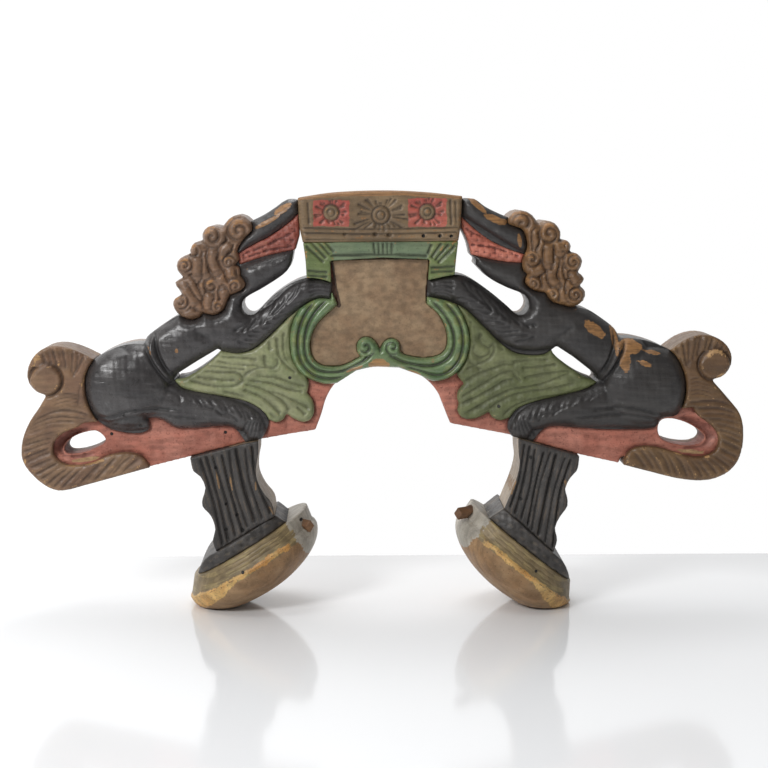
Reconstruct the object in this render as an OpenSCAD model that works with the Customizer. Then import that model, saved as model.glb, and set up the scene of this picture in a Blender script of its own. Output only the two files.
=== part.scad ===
// Carved and painted harness bow: an arched plank with two lions and a shield, on two footed legs.
// X runs along the plank, Y from front to back, Z up. The feet stand on Z = 0.

/* [Plank] */
// How far the back of the plank lies behind the middle of the feet
back_y = 12; // [8:1:16]
// Thickness of the plank at its painted ground
ground_t = 40; // [32:1:46]
// How much the back of each end is pared away
end_taper = 12; // [0:1:16]
// How deep the mouths' red wood goes before the lions' jaws join behind it
mouth_depth = 20; // [10:1:24]

/* [Relief] */
// Height of the lions over the ground
lion_h = 10; // [6:0.5:12]
// Height of the manes over the ground
mane_h = 10.5; // [6:0.5:12]
// Height of the open mouths over the ground
mouth_h = 5; // [2:0.5:6]
// Height of the wings over the ground
wing_h = 7; // [4:0.5:9]
// Height of the curled tails over the ground
tail_h = 8.5; // [5:0.5:11]
// Height of the strapwork round the shield
strap_h = 8.5; // [5:0.5:11]
// Height of the bar and posts at the head of the shield
head_h = 8; // [5:0.5:11]
// Height of the shield's sunk field
panel_h = 2; // [1:0.5:4]
// Height of the crown rail
crown_h = 11; // [6:0.5:13]

/* [Legs] */
// Depth of each leg from front to back
leg_d = 62; // [50:1:70]
// How far the legs' front face lies before the middle of the feet
leg_front = 36; // [30:1:40]
// Length of each tenon along the joint
tenon_w = 30; // [20:1:34]
// Thickness of the top tenons
tenon_t = 14; // [10:1:18]
// How far a top tenon goes into the plank
tenon_up = 13; // [8:1:14]
// How far a bottom tenon goes down through the plinth
tenon_down = 22; // [14:1:26]

/* [Feet] */
// Width of each sole from front to back
sole_w = 100; // [90:1:110]
// Width of each plinth from front to back
plinth_w = 82; // [72:1:88]
// Side of the square pegs
peg_side = 7.5; // [5:0.5:9]
// Length of the square pegs
peg_len = 24; // [16:1:30]
// Turn of the pegs away from straight ahead
peg_turn = 40; // [20:1:60]

/* [Hidden] */

ground_y = back_y - ground_t;
curve_step = 4;
cut = 1;

// Each outline is a ring of [x, z] places. A third number of 1 makes a sharp corner.
board_outline = [
    [-55, 148.5, 1], [-50, 162], [-46, 175], [-38, 187], [-21, 197], [-2, 200], [18, 197.5], [33, 190],
    [43, 179], [49, 165], [53.5, 153.5, 1], [100, 144.5, 1], [155, 128.5, 1], [190, 120.7, 1],
    [192, 126, 1], [215, 121], [240, 115.5], [260, 115], [274, 121], [282, 132], [284, 144],
    [281, 155], [273, 164], [262, 174], [244, 183], [215, 185], [190, 181], [172, 182], [158, 188],
    [146, 197], [135, 205.5], [112, 205], [98, 211], [84, 223], [68, 240], [55, 251], [50, 262],
    [51, 284], [53, 300], [55, 330, 1], [0, 334], [-61, 330, 1], [-59, 300], [-56, 284], [-55, 262],
    [-60, 251], [-74, 238], [-90, 221], [-104, 209], [-118, 206.5], [-131, 206.5], [-142, 199],
    [-155, 188], [-170, 180], [-195, 178], [-225, 180], [-250, 176], [-268, 166], [-279, 151],
    [-282, 137], [-281, 124], [-272, 112], [-260, 107], [-235, 113], [-192, 124.5, 1],
    [-189, 119, 1], [-155, 127.5, 1], [-111, 139, 1], [-75, 145.5, 1]];

rein_hole_left = [
    [-257, 134], [-254, 139.5], [-248, 144], [-240, 147], [-231, 148.5], [-226, 145.5],
    [-223, 140.5], [-228, 136], [-238, 131.5], [-248, 129.5], [-255, 130]];
rein_hole_right = [
    [221.5, 147], [223, 154.5], [229, 157], [240, 155], [250, 150.5], [258, 145], [260, 141],
    [257, 136.5], [250, 134.5], [240, 135], [230, 137.5], [224, 141]];

lion_left_outline = [
    [-67.3, 332, 1], [-76, 332.8], [-84, 327.5], [-94, 321], [-110, 313], [-132, 300], [-148, 280],
    [-154, 262], [-158, 244], [-165, 240.5], [-176, 233.5], [-188, 224.5], [-190.5, 218.6, 1],
    [-202, 218.5], [-216, 214.5], [-230, 206.5], [-236, 197], [-238, 186], [-236.5, 174],
    [-231.5, 161], [-222, 152], [-208, 147.5], [-194, 147], [-188, 150], [-187.5, 155],
    [-189.5, 159.5, 1], [-179, 158.7], [-166, 151.3], [-150, 151], [-124, 152.3], [-117, 148],
    [-111, 139, 1], [-98, 141.7, 1], [-93, 151], [-92.3, 158], [-98, 165.5], [-110, 172.3],
    [-127, 176.2], [-150, 180.3], [-162, 184], [-167.5, 190.5, 1], [-167, 193.2, 1],
    [-150, 204, 1], [-132, 214.7, 1], [-129.5, 213, 1], [-118, 211], [-106, 213.5], [-92, 224],
    [-76, 239.5], [-62, 250], [-52, 254.5], [-42, 254, 1], [-41, 267, 1], [-50, 270], [-62, 270.8],
    [-74, 266], [-88, 256.5], [-97, 247.5], [-103, 242], [-109, 242.3], [-112.7, 248.5],
    [-110.5, 254.5], [-96, 263], [-80, 273.5], [-74, 280.5], [-71.2, 293, 1], [-67.5, 304, 1]];
mouth_left_outline = [
    [-67.3, 322, 1], [-76, 314], [-90, 304], [-104, 297], [-117, 289, 1], [-114, 281.5, 1],
    [-96, 287.5], [-82, 290.8], [-70, 293.2, 1], [-67, 304, 1]];
mane_left_outline = [
    [-103.5, 309], [-105.5, 316], [-114, 320.8], [-122, 317.5], [-127.5, 310.5, 1], [-132, 312],
    [-138.5, 311.3], [-143, 306], [-142.5, 300, 1], [-149.5, 298.7], [-152.8, 293], [-152, 289.3, 1],
    [-157, 288.7], [-163, 284], [-163, 277], [-158, 271.3, 1], [-165, 267.5], [-162, 262],
    [-159.5, 257.3, 1], [-165, 255], [-167, 250], [-163.5, 243], [-154, 238], [-146, 240],
    [-143.5, 243.5, 1], [-135, 241.3], [-127.5, 245.5], [-124, 253], [-122, 257.5, 1], [-113, 261.3],
    [-109.3, 266.5], [-113.5, 272.5, 1], [-114, 279], [-118, 281.5, 1], [-114, 286], [-116, 292],
    [-112.5, 299], [-109, 303.5]];
wing_left_outline = [
    [-167, 187, 1], [-166, 190.3, 1], [-158, 191.5], [-146, 198.5], [-133, 209], [-129.5, 214, 1],
    [-98, 232, 1], [-66, 252, 1], [-66, 220, 1], [-62, 192, 1], [-60, 187], [-61.5, 178.8, 1],
    [-57, 173], [-55.8, 164], [-58.5, 157.8], [-64, 155.5], [-71, 157.5], [-78.3, 162.5, 1],
    [-80.5, 157.8], [-86, 155.3], [-93, 158, 1], [-104, 152, 1], [-130, 165, 1]];
tail_left_outline = [
    [-187, 119.5, 1], [-215, 111.8], [-240, 105], [-254, 101.3], [-264, 101.5], [-274, 107],
    [-284, 117], [-288.8, 125.5], [-289.5, 134], [-287.5, 145], [-281.5, 158], [-274.5, 168],
    [-268.5, 178, 1], [-276, 180.7], [-282, 187.5], [-283, 197], [-278.5, 208], [-269, 215.7],
    [-257, 217.2], [-244, 213.5], [-230, 206.5, 1], [-215, 190, 1], [-224, 160, 1],
    [-229, 156.5, 1], [-240, 155.5, 1], [-244, 152.5], [-256, 147.5], [-263, 141], [-264.7, 134],
    [-261.5, 126.5], [-254, 121.7], [-242, 121.3], [-231, 124], [-221, 129], [-206, 131.5],
    [-195, 129], [-189, 122.5]];

lion_right_outline = [
    [61.4, 333, 1], [71, 333.2], [80, 327], [90, 322], [104, 316], [126, 303], [142, 284],
    [148, 264], [152, 249], [163, 245.3], [174, 238.3], [184, 230.3], [188.3, 222.8, 1],
    [202, 222], [218, 217.8], [231, 211], [239, 199], [242.3, 186], [241, 170], [235.5, 159.7],
    [227, 158.5], [222.5, 156.5], [219, 150.3], [200, 148.7], [175, 148.8], [150, 150.6],
    [133, 151.2], [126, 147], [120, 138.7, 1], [103, 143.3, 1], [99.3, 150], [101.3, 158.5],
    [108, 166.3], [122, 171.7], [142, 176.4], [160, 181], [168, 185], [172.3, 189, 1],
    [171.5, 192, 1], [152, 207.2, 1], [138, 216.3, 1], [134, 213, 1], [128, 209.3], [114, 209],
    [103, 211.5], [92, 219.5], [78, 233.5], [64, 246.5], [50, 252.5], [34, 256, 1], [34.5, 269, 1],
    [46, 271.5], [58, 273.3], [68, 270.5], [84, 260], [98, 248.5], [107, 241], [113, 243],
    [115.7, 250], [112, 257], [98, 263], [84, 270.5], [72.5, 281.8, 1], [73.5, 285, 1],
    [69.5, 289, 1], [67, 299], [62, 309.5, 1]];
mouth_right_outline = [
    [61.4, 319, 1], [71, 310], [84, 300.5], [98, 293.8], [112, 289, 1], [110, 282.5, 1],
    [96, 283.3], [80, 286.3], [69.3, 289, 1], [67, 299], [61.8, 309.5, 1]];
mane_right_outline = [
    [98, 314], [99.5, 320], [108, 324.2], [117, 320.5], [122, 313.5, 1], [127, 316], [135, 314],
    [139.8, 307], [139.3, 300.7, 1], [145, 300.4], [148.2, 296], [146.8, 291.3, 1], [153, 290],
    [157.5, 284], [154, 275.3, 1], [159.2, 270], [155.5, 264.5, 1], [160, 260], [158.5, 252.5],
    [150, 247.5], [142.5, 249, 1], [134, 251.5], [128.5, 259, 1], [119, 260.8], [112, 267],
    [114, 274, 1], [110.5, 277], [110, 285], [113.5, 295], [110.5, 308], [103, 311.5]];
wing_right_outline = [
    [172, 186, 1], [170.5, 187.5, 1], [160, 191.7], [148, 199.5], [135, 210.8], [134, 216, 1],
    [100, 234, 1], [58, 254, 1], [55, 220, 1], [57.3, 197, 1], [59.5, 191.5], [64.5, 186, 1],
    [60, 181], [58.7, 175], [60.2, 170, 1], [59, 164.5], [62.5, 158.8], [70, 157.3], [78, 159.7],
    [84.5, 163.5, 1], [87, 158.8], [94, 156.3], [101, 158.5, 1], [112, 152, 1], [135, 165, 1]];
tail_right_outline = [
    [192.5, 120.3, 1], [215, 114.3], [240, 108.3], [260, 107.2], [275, 112], [284.5, 121],
    [289, 134], [289.5, 148], [286.5, 161], [278.5, 171.5], [262.5, 189.5, 1], [270, 191],
    [276.5, 197], [278.7, 206], [274.5, 216.5], [264, 223.7], [252, 225], [240, 221],
    [229, 213, 1], [215, 195, 1], [228, 165, 1], [239, 165.8, 1], [249, 166.8, 1], [251.5, 161],
    [260, 154.7], [267.5, 147.5], [270.2, 139.5], [267, 130.5], [258, 126.5], [246, 126.7],
    [232, 131], [216, 134.9], [203, 134], [195.5, 128.5]];

panel_outline = [
    [-42.5, 284.5, 1], [0, 287, 1], [36, 285.5, 1], [33.8, 262], [34, 250, 1], [43, 242.5], [49, 231],
    [50.5, 218], [45, 209], [30, 205.5], [10, 208], [-3, 206], [-18, 207], [-34, 200.5], [-50, 200.5],
    [-57.5, 208], [-58.7, 221], [-53, 234.5], [-44, 243.5], [-36.8, 250, 1], [-38.5, 262]];
head_outline = [
    [-64, 300, 1], [58.7, 300, 1], [57, 285], [55.5, 268, 1], [34.8, 266, 1], [36, 285.5, 1], [0, 287, 1],
    [-42.5, 284.5, 1], [-41.5, 266, 1], [-61, 266, 1], [-62, 285]];
strap_outline = [
    [-36.8, 250, 1], [-42, 261, 1], [-56, 261, 1], [-67, 246.5], [-73, 234], [-74.7, 220], [-72, 204],
    [-62, 192], [-47, 186.3], [-37.5, 187, 1], [-22, 197, 1], [-10, 199.8, 1], [-4, 200, 1],
    [12, 199.2, 1], [28, 193.5, 1], [40, 188.3], [54, 192], [64, 203], [68.3, 218], [66.5, 232],
    [60, 246], [50, 262, 1], [34.4, 262, 1], [34, 250, 1], [43, 242.5], [49, 231], [50.5, 218],
    [46, 210.3], [34, 207], [20, 208.5], [13, 212], [12.5, 219], [7, 222.7], [0, 220], [-3, 213, 1],
    [-7, 220.5], [-14, 224], [-20.5, 220.5], [-21.5, 213], [-18.5, 208, 1], [-34, 200.8],
    [-50, 201.5], [-57.5, 209], [-58.7, 221], [-53, 234.5], [-44, 243.5]];
crown_outline = [
    [-67.8, 334, 1], [-40, 338], [0, 339.6], [35, 338.2], [61.6, 335.3, 1], [60.2, 311], [58.7, 300, 1],
    [-64, 299, 1], [-66.5, 311]];

leg_left_outline = [
    [-155, 127.5, 1], [-111, 139, 1], [-100.5, 140.8, 1], [-100.5, 131], [-102.3, 121], [-102, 110],
    [-97, 99], [-90, 90], [-88, 79.5, 1], [-135, 51, 1], [-138, 59.5], [-135.7, 69], [-139, 80], [-145.7, 88],
    [-145.5, 94.5], [-143.2, 103], [-147, 112], [-152.5, 116.5], [-154, 121.5]];
leg_right_outline = [
    [157, 127.9, 1], [107.7, 142, 1], [108, 131], [109, 121], [106, 108], [101, 95], [97, 85, 1],
    [137, 48.8, 1], [140, 59], [138.3, 69], [142, 78], [148, 87], [147.5, 95], [146, 101],
    [150, 110], [155, 115.5], [156.5, 121]];

// A foot's outlines as its side shows them. The first place is the low outer end of its top.
sole_left_outline = [
    [-155, 26.5, 1], [-63, 82.9, 1], [-58.6, 73], [-57.3, 61], [-60.8, 46.3], [-71.7, 30.7], [-86, 18.2],
    [-104, 7.7], [-120, 1.7], [-134, 0, 1], [-147, 0, 1], [-156.6, 3.7], [-160.6, 10.2], [-159.3, 19.2]];
sole_right_outline = [
    [156, 19.5, 1], [68, 89.5, 1], [60, 79], [58.5, 68], [62, 53], [72, 37.5], [85, 24], [100, 11.5],
    [114.5, 3.5], [129, 0, 1], [146, 0, 1], [156.5, 3.5], [161, 9], [160.5, 15]];
plinth_left_outline = [
    [-155, 26.5, 1], [-151, 36], [-145, 44.5], [-135, 51, 1], [-88, 79.5, 1], [-81, 79.5], [-74, 76.1, 1]];
plinth_right_outline = [
    [156, 19.5, 1], [152, 30], [146, 40.5], [137, 48.8, 1], [97, 85, 1], [88, 86.5], [78, 81.5, 1]];

// A sole's section across its length, as [y, height under its top]. The keel is broad and nearly flat.
sole_section = [
    [-46, 0, 1], [46, 0, 1], [49, -8], [50, -14.5, 1], [47, -22], [38, -29], [24, -34.5], [10, -42.5],
    [0, -44.5], [-10, -42.5], [-24, -34.5], [-38, -29], [-47, -22], [-50, -14.5, 1], [-49, -8]];

tenon_left_x = -133;
tenon_right_x = 135;
sole_left_tilt = atan2(56.4, 92);
sole_right_tilt = atan2(70, 88);
sole_reach = 7;
sole_power = 2.3;
sole_ease = 0.4;

function flat(p) = [p[0], p[1]];
function is_corner(p) = p[2] == 1;
function unit(v) = v / max(norm(v), 0.001);
function at(ring, i) = ring[(i + len(ring)) % len(ring)];
function heading(ring, i) = unit(flat(at(ring, i + 1)) - flat(at(ring, i - 1)));
function leave(ring, i, chord) = is_corner(at(ring, i)) ? chord : norm(chord) * heading(ring, i);
function blend(a, b, ta, tb, t) =
    (2 * t ^ 3 - 3 * t ^ 2 + 1) * a + (t ^ 3 - 2 * t ^ 2 + t) * ta
    + (3 * t ^ 2 - 2 * t ^ 3) * b + (t ^ 3 - t ^ 2) * tb;
function both_sharp(ring, i) = is_corner(at(ring, i)) && is_corner(at(ring, i + 1));
function steps(ring, i, chord) = both_sharp(ring, i) ? 1 : max(2, round(norm(chord) / curve_step));
// A smooth ring through the places of an outline.
function smooth(ring) = [
    for (i = [0 : len(ring) - 1])
        let (a = flat(ring[i]), b = flat(at(ring, i + 1)), chord = b - a, n = steps(ring, i, chord))
            for (k = [0 : n - 1])
                blend(a, b, leave(ring, i, chord), leave(ring, i + 1, chord), k / n)];
// A ring with the lobes of a rounded rectangle, for the soles seen from above.
function oval(half_l, half_w, power) = [
    for (a = [0 : 6 : 354])
        [half_l * sign(cos(a)) * abs(cos(a)) ^ (2 / power),
         half_w * sign(sin(a)) * abs(sin(a)) ^ (2 / power)]];

// Extrudes an outline of [x, z] places from y = front to y = back.
module slab(ring, front, back) {
    translate([0, back, 0])
        rotate([90, 0, 0])
            linear_extrude(back - front)
                polygon(smooth(ring));
}

module rein_holes() {
    for (ring = [rein_hole_left, rein_hole_right])
        slab(ring, ground_y - cut, back_y + cut);
}

// The back is pared away towards each end.
module end_cuts() {
    for (side = [-1, 1])
        translate([0, 0, 90])
            linear_extrude(150)
                polygon([[side * 200, back_y], [side * 300, back_y - end_taper],
                         [side * 300, back_y + cut], [side * 200, back_y + cut]]);
}

module solid_board() {
    slab(board_outline, ground_y, back_y);
}

// A carved form: full thickness beyond the board, and only its relief where the board backs it.
module carved(ring, relief, back = back_y) {
    difference() {
        slab(ring, ground_y - relief, back);
        solid_board();
        end_cuts();
        children();
    }
}

// A cut with the outline of another form, through the full depth unless it stops at back.
module clear(ring, back = back_y + cut) {
    slab(ring, ground_y - 20, back);
}

// A block that stands on a leg's top edge or hangs from its bottom edge.
module tenon(x, z, tilt, thickness, reach) {
    translate([x, leg_d / 2 - leg_front, z])
        rotate([0, -tilt, 0])
            translate([-tenon_w / 2, -thickness / 2, min(reach, 0) - cut * sign(reach)])
                cube([tenon_w, thickness, abs(reach) + cut]);
}

module top_tenon_left() {
    tenon(tenon_left_x, 133.1, atan2(14, 54.5), tenon_t, tenon_up);
}

module top_tenon_right() {
    tenon(tenon_right_x, 134.2, -atan2(14.1, 49.3), tenon_t, tenon_up);
}

module bottom_tenon_left() {
    tenon(-112, 65, atan2(28.5, 47), leg_d / 3, -tenon_down);
}

module bottom_tenon_right() {
    tenon(117, 66.9, -atan2(36.2, 40), leg_d / 3, -tenon_down);
}

module arch_board() {
    color("#a45a50")
        difference() {
            solid_board();
            rein_holes();
            end_cuts();
            top_tenon_left();
            top_tenon_right();
        }
}

module shield_panel() {
    color("#82694f")
        carved(panel_outline, panel_h) {
            clear(strap_outline);
            clear(head_outline);
            clear(lion_left_outline);
            clear(lion_right_outline);
        }
}

module shield_head() {
    color("#5d7a5c")
        carved(head_outline, head_h) {
            clear(crown_outline);
            clear(lion_left_outline);
            clear(lion_right_outline);
        }
}

module shield_strap() {
    color("#56724a")
        carved(strap_outline, strap_h) {
            clear(lion_left_outline);
            clear(lion_right_outline);
        }
}

module crown_rail() {
    color("#7a664a") carved(crown_outline, crown_h);
}

module lion(ring, mane, mouth) {
    color("#2f2d2e")
        carved(ring, lion_h) {
            clear(mane);
            clear(mouth, ground_y + mouth_depth);
            clear(crown_outline);
            rein_holes();
        }
}

module lion_left() {
    lion(lion_left_outline, mane_left_outline, mouth_left_outline);
}

module lion_right() {
    lion(lion_right_outline, mane_right_outline, mouth_right_outline);
}

module mouth(ring, mane) {
    color("#a04c44")
        carved(ring, mouth_h, ground_y + mouth_depth) {
            clear(mane);
            clear(crown_outline);
        }
}

module mouth_left() {
    mouth(mouth_left_outline, mane_left_outline);
}

module mouth_right() {
    mouth(mouth_right_outline, mane_right_outline);
}

module mane_left() {
    color("#6f5138") carved(mane_left_outline, mane_h);
}

module mane_right() {
    color("#6f5138") carved(mane_right_outline, mane_h);
}

module wing(ring, beast) {
    color("#75835a")
        carved(ring, wing_h) {
            clear(beast);
            clear(strap_outline);
        }
}

module wing_left() {
    wing(wing_left_outline, lion_left_outline);
}

module wing_right() {
    wing(wing_right_outline, lion_right_outline);
}

module tail(ring, beast) {
    color("#6b5440")
        carved(ring, tail_h)
            clear(beast);
}

module tail_left() {
    tail(tail_left_outline, lion_left_outline);
}

module tail_right() {
    tail(tail_right_outline, lion_right_outline);
}

module leg(ring) {
    color("#3a3836") {
        slab(ring, -leg_front, leg_d - leg_front);
        children();
    }
}

module leg_left() {
    leg(leg_left_outline) {
        top_tenon_left();
        bottom_tenon_left();
    }
}

module leg_right() {
    leg(leg_right_outline) {
        top_tenon_right();
        bottom_tenon_right();
    }
}

// Puts a shape drawn along a sole's top plane where that sole's low outer end is.
module on_sole(corner, side, tilt) {
    translate([corner[0], 0, corner[1]])
        mirror([side < 0 ? 0 : 1, 0, 0])
            rotate([0, -tilt, 0])
                children();
}

// The rounded block that bounds a foot: an oval from above and a boat's section from the end.
module foot_bounds(length, half_w) {
    intersection() {
        translate([length / 2, 0, -80])
            linear_extrude(120)
                polygon(oval(length / 2 + sole_reach, half_w + sole_ease, sole_power));
        translate([-40, 0, 0])
            rotate([90, 0, 90])
                linear_extrude(length + 80)
                    polygon(smooth(sole_section));
    }
}

module sole(ring, side, tilt) {
    color("#7f6a48")
        difference() {
            intersection() {
                slab(ring, -sole_w / 2 - cut, sole_w / 2 + cut);
                on_sole(ring[0], side, tilt)
                    foot_bounds(norm(flat(ring[1]) - flat(ring[0])), sole_w / 2);
            }
            children();
        }
}

module sole_left() {
    sole(sole_left_outline, -1, sole_left_tilt) {
        bottom_tenon_left();
        peg_left();
    }
}

module sole_right() {
    sole(sole_right_outline, 1, sole_right_tilt) {
        bottom_tenon_right();
        peg_right();
    }
}

module plinth(ring, side, tilt, length) {
    color("#2e2c2a")
        difference() {
            intersection() {
                slab(ring, -plinth_w / 2, plinth_w / 2);
                on_sole(ring[0], side, tilt)
                    translate([length / 2, 0, -10])
                        linear_extrude(60)
                            polygon(oval(length / 2 + sole_reach / 2, plinth_w / 2, sole_power));
            }
            children();
        }
}

module plinth_left() {
    plinth(plinth_left_outline, -1, sole_left_tilt, 96)
        bottom_tenon_left();
}

module plinth_right() {
    plinth(plinth_right_outline, 1, sole_right_tilt, 98)
        bottom_tenon_right();
}

// A square peg with its corners up and down, pointing forwards and inwards.
module peg(place, side) {
    color("#6a4a30")
        translate(place)
            rotate([0, 0, side * peg_turn])
                rotate([90, 45, 0])
                    translate([-peg_side / 2, -peg_side / 2, -peg_len])
                        cube([peg_side, peg_side, peg_len]);
}

module peg_left() {
    peg([-57.8, -30.2, 69.7], 1);
}

module peg_right() {
    peg([58.5, -30, 79], -1);
}

module sole_peg_left() {
    peg_left();
}

module sole_peg_right() {
    peg_right();
}

arch_board();
shield_panel();
shield_head();
shield_strap();
crown_rail();
lion_left();
lion_right();
mouth_left();
mouth_right();
mane_left();
mane_right();
wing_left();
wing_right();
tail_left();
tail_right();
leg_left();
leg_right();
plinth_left();
plinth_right();
sole_left();
sole_right();
sole_peg_left();
sole_peg_right();
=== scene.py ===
import bpy
import math
import numpy as np
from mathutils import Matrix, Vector, kdtree


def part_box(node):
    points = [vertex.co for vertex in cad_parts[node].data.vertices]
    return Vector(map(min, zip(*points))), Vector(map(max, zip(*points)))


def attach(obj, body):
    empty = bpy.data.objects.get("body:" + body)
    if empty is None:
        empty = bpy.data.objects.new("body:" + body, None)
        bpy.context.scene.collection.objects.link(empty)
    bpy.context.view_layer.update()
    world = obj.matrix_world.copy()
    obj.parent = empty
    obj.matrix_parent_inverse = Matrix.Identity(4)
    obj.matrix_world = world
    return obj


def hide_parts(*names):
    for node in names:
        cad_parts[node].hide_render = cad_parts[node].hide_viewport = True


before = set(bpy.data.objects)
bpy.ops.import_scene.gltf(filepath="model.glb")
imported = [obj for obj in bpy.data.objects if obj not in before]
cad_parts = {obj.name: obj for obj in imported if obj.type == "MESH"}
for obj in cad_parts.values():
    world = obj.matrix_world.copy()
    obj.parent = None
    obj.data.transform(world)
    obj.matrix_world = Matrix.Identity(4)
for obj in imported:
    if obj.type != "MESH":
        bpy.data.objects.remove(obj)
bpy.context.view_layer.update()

mm = 0.001
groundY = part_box("arch_board")[0].y / mm  # the plank's painted ground, which the relief stands on
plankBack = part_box("arch_board")[1].y / mm


# ---- camera, floor and light
studio = {
    "cameraPlace": (-0.03, -1.334, 0.346), "aim": (0.0, -0.034, 0.18637), "lens": 77.0,
    "floorColor": (0.93, 0.94, 0.955), "floorRoughness": 0.1, "floorBack": 0.17, "floorFront": -3.0,
    "floorHalf": 3.0, "roomFront": 0.26, "roomBehind": 1.0, "roomLean": -0.55, "lightAim": (0, -0.02, 0.2),
    "lights": [  # name, place, width and height, watts
        ("leftSoftbox", (-1.1, -1.45, 1.25), (0.55, 0.55), 22),
        ("rightSoftbox", (1.6, -1.1, 0.8), (0.6, 0.9), 1.0),
        ("topSoftbox", (-0.3, 0.2, 1.6), (1.4, 0.5), 9)]}


def aimed(place, target):
    return (Vector(target) - Vector(place)).to_track_quat("-Z", "Y").to_euler()


def addCamera():
    place = studio["cameraPlace"]
    bpy.ops.object.camera_add(location=place, rotation=aimed(place, studio["aim"]))
    camera = bpy.context.active_object
    camera.data.lens = studio["lens"]
    bpy.context.scene.camera = camera


def addFloor():
    bpy.ops.mesh.primitive_plane_add(size=1)
    floor = bpy.context.active_object
    floor.name = "studioFloor"
    for vertex in floor.data.vertices:
        vertex.co.x = math.copysign(studio["floorHalf"], vertex.co.x)
        vertex.co.y = studio["floorBack"] if vertex.co.y > 0 else studio["floorFront"]
    material = bpy.data.materials.new("paleFloor")
    material.use_nodes = True
    shader = material.node_tree.nodes["Principled BSDF"]
    shader.inputs["Base Color"].default_value = (*studio["floorColor"], 1)
    shader.inputs["Roughness"].default_value = studio["floorRoughness"]
    floor.data.materials.append(material)


def addLight(name, place, size, power):
    bpy.ops.object.light_add(type="AREA", location=place, rotation=aimed(place, studio["lightAim"]))
    light = bpy.context.active_object
    light.name = name
    light.data.shape = "RECTANGLE"
    light.data.size, light.data.size_y = size
    light.data.energy = power


def addStudio():
    addCamera()
    addFloor()
    for light in studio["lights"]:
        addLight(*light)
    world = bpy.data.worlds.new("whiteRoom")
    world.use_nodes = True
    tree = world.node_tree
    room = tree.nodes["Background"]
    room.inputs["Color"].default_value = (1, 1, 1, 1)
    way = tree.nodes.new("ShaderNodeSeparateXYZ")
    wire(tree, tree.nodes.new("ShaderNodeTexCoord").outputs["Generated"], way.inputs[0])
    behind = ramp(tree, way.outputs["Y"], 0.0, 0.5)  # the bright backdrop lights from behind
    glow = calc(tree, "MULTIPLY_ADD", behind, studio["roomBehind"] - studio["roomFront"], studio["roomFront"])
    lean = calc(tree, "MULTIPLY_ADD", way.outputs["X"], studio["roomLean"], 1.0)
    glow = calc(tree, "MULTIPLY", glow, lean)
    seen = tree.nodes.new("ShaderNodeLightPath").outputs["Is Camera Ray"]
    wire(tree, calc(tree, "MAXIMUM", glow, seen), room.inputs["Strength"])
    bpy.context.scene.world = world
    bpy.context.scene.view_settings.view_transform = "Standard"
    print("studio set")


# ---- blocks to carve
carving = {  # in millimetres
    "edgeGap": 0.5, "weld": 0.02, "hinge": 3.0, "waverSize": 6.0, "softening": 0.45, "backSkin": 0.8, "scoop": 0.35,
    "bendRounds": 9, "bendShare": 0.65, "bendReach": 0.32, "holeRadius": 1.35, "bumpDepth": 0.5, "bumpGain": 1.4}
marks = ("bare", "second", "third", "behind", "under", "streak")  # where each layer of paint or bare wood lies


def onlySelect(piece):
    bpy.ops.object.select_all(action="DESELECT")
    piece.select_set(True)
    bpy.context.view_layer.objects.active = piece


def frontEdge(piece):  # points along the outline of the block's front face
    mesh = piece.data
    front = min(vertex.co.y for vertex in mesh.vertices)
    places = []
    faces = {}
    for face in mesh.polygons:
        for key in face.edge_keys:
            faces.setdefault(key, []).append(face.normal.y)
    for (a, b), normals in faces.items():
        onFront = max(mesh.vertices[a].co.y, mesh.vertices[b].co.y) < front + 1e-4
        if onFront and min(normals) < -0.9 and max(normals) > -0.5:
            start, end = mesh.vertices[a].co / mm, mesh.vertices[b].co / mm
            count = max(1, int((end - start).length / carving["edgeGap"]))
            places += [start.lerp(end, k / count) for k in range(count)]
    return [(place.x, place.z) for place in places]


def block(node, name, grain):  # a fine block with the node's own outline, and the points of its front edge
    piece = bpy.data.objects.new(name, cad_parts[node].data.copy())
    bpy.context.scene.collection.objects.link(piece)
    onlySelect(piece)
    piece.data.materials.clear()
    bpy.ops.object.mode_set(mode="EDIT")
    bpy.ops.mesh.select_all(action="SELECT")
    bpy.ops.mesh.remove_doubles(threshold=carving["weld"] * mm)
    bpy.ops.object.mode_set(mode="OBJECT")
    edge = frontEdge(piece)
    remesh = piece.modifiers.new("fineGrain", "REMESH")
    remesh.mode = "VOXEL"
    remesh.voxel_size = grain * mm
    bpy.ops.object.modifier_apply(modifier="fineGrain")
    return piece, edge


def readPoints(piece):
    points = np.zeros(len(piece.data.vertices) * 3)
    piece.data.vertices.foreach_get("co", points)
    return points.reshape(-1, 3) / mm


def writePoints(piece, points):
    piece.data.vertices.foreach_set("co", (points * mm).ravel())
    piece.data.update()


def laplace(piece, points, rounds, share=0.6):
    ends = np.zeros(len(piece.data.edges) * 2, int)
    piece.data.edges.foreach_get("vertices", ends)
    a, b = ends.reshape(-1, 2).T
    count = np.bincount(a, minlength=len(points)) + np.bincount(b, minlength=len(points))
    for _ in range(rounds):
        total = np.stack([np.bincount(a, points[b, k], len(points)) + np.bincount(b, points[a, k], len(points))
                          for k in range(3)], 1)
        points = (1 - share) * points + share * total / np.maximum(count, 1)[:, None]
    return points


def nearest(places, x, z):  # distance from each vertex to the nearest of the places
    tree = kdtree.KDTree(len(places))
    for index, place in enumerate(places):
        tree.insert((place[0], place[1], 0), index)
    tree.balance()
    return np.array([tree.find((a, b, 0))[2] for a, b in zip(x, z)])


def unevenness(x, z, size, seed=0.0):  # smooth hand-made irregularity, from -1 to 1
    a = np.sin(x / size * 1.3 + seed) * np.cos(z / size * 1.1 - seed * 1.7)
    b = np.sin((x + z) / size * 2.3 + seed * 2.1) * np.cos((x - z) / size * 1.9 + seed)
    return 0.6 * a + 0.4 * b


# ---- carving
def unit(values):  # held between 0 and 1
    return np.clip(values, 0, 1)


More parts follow.
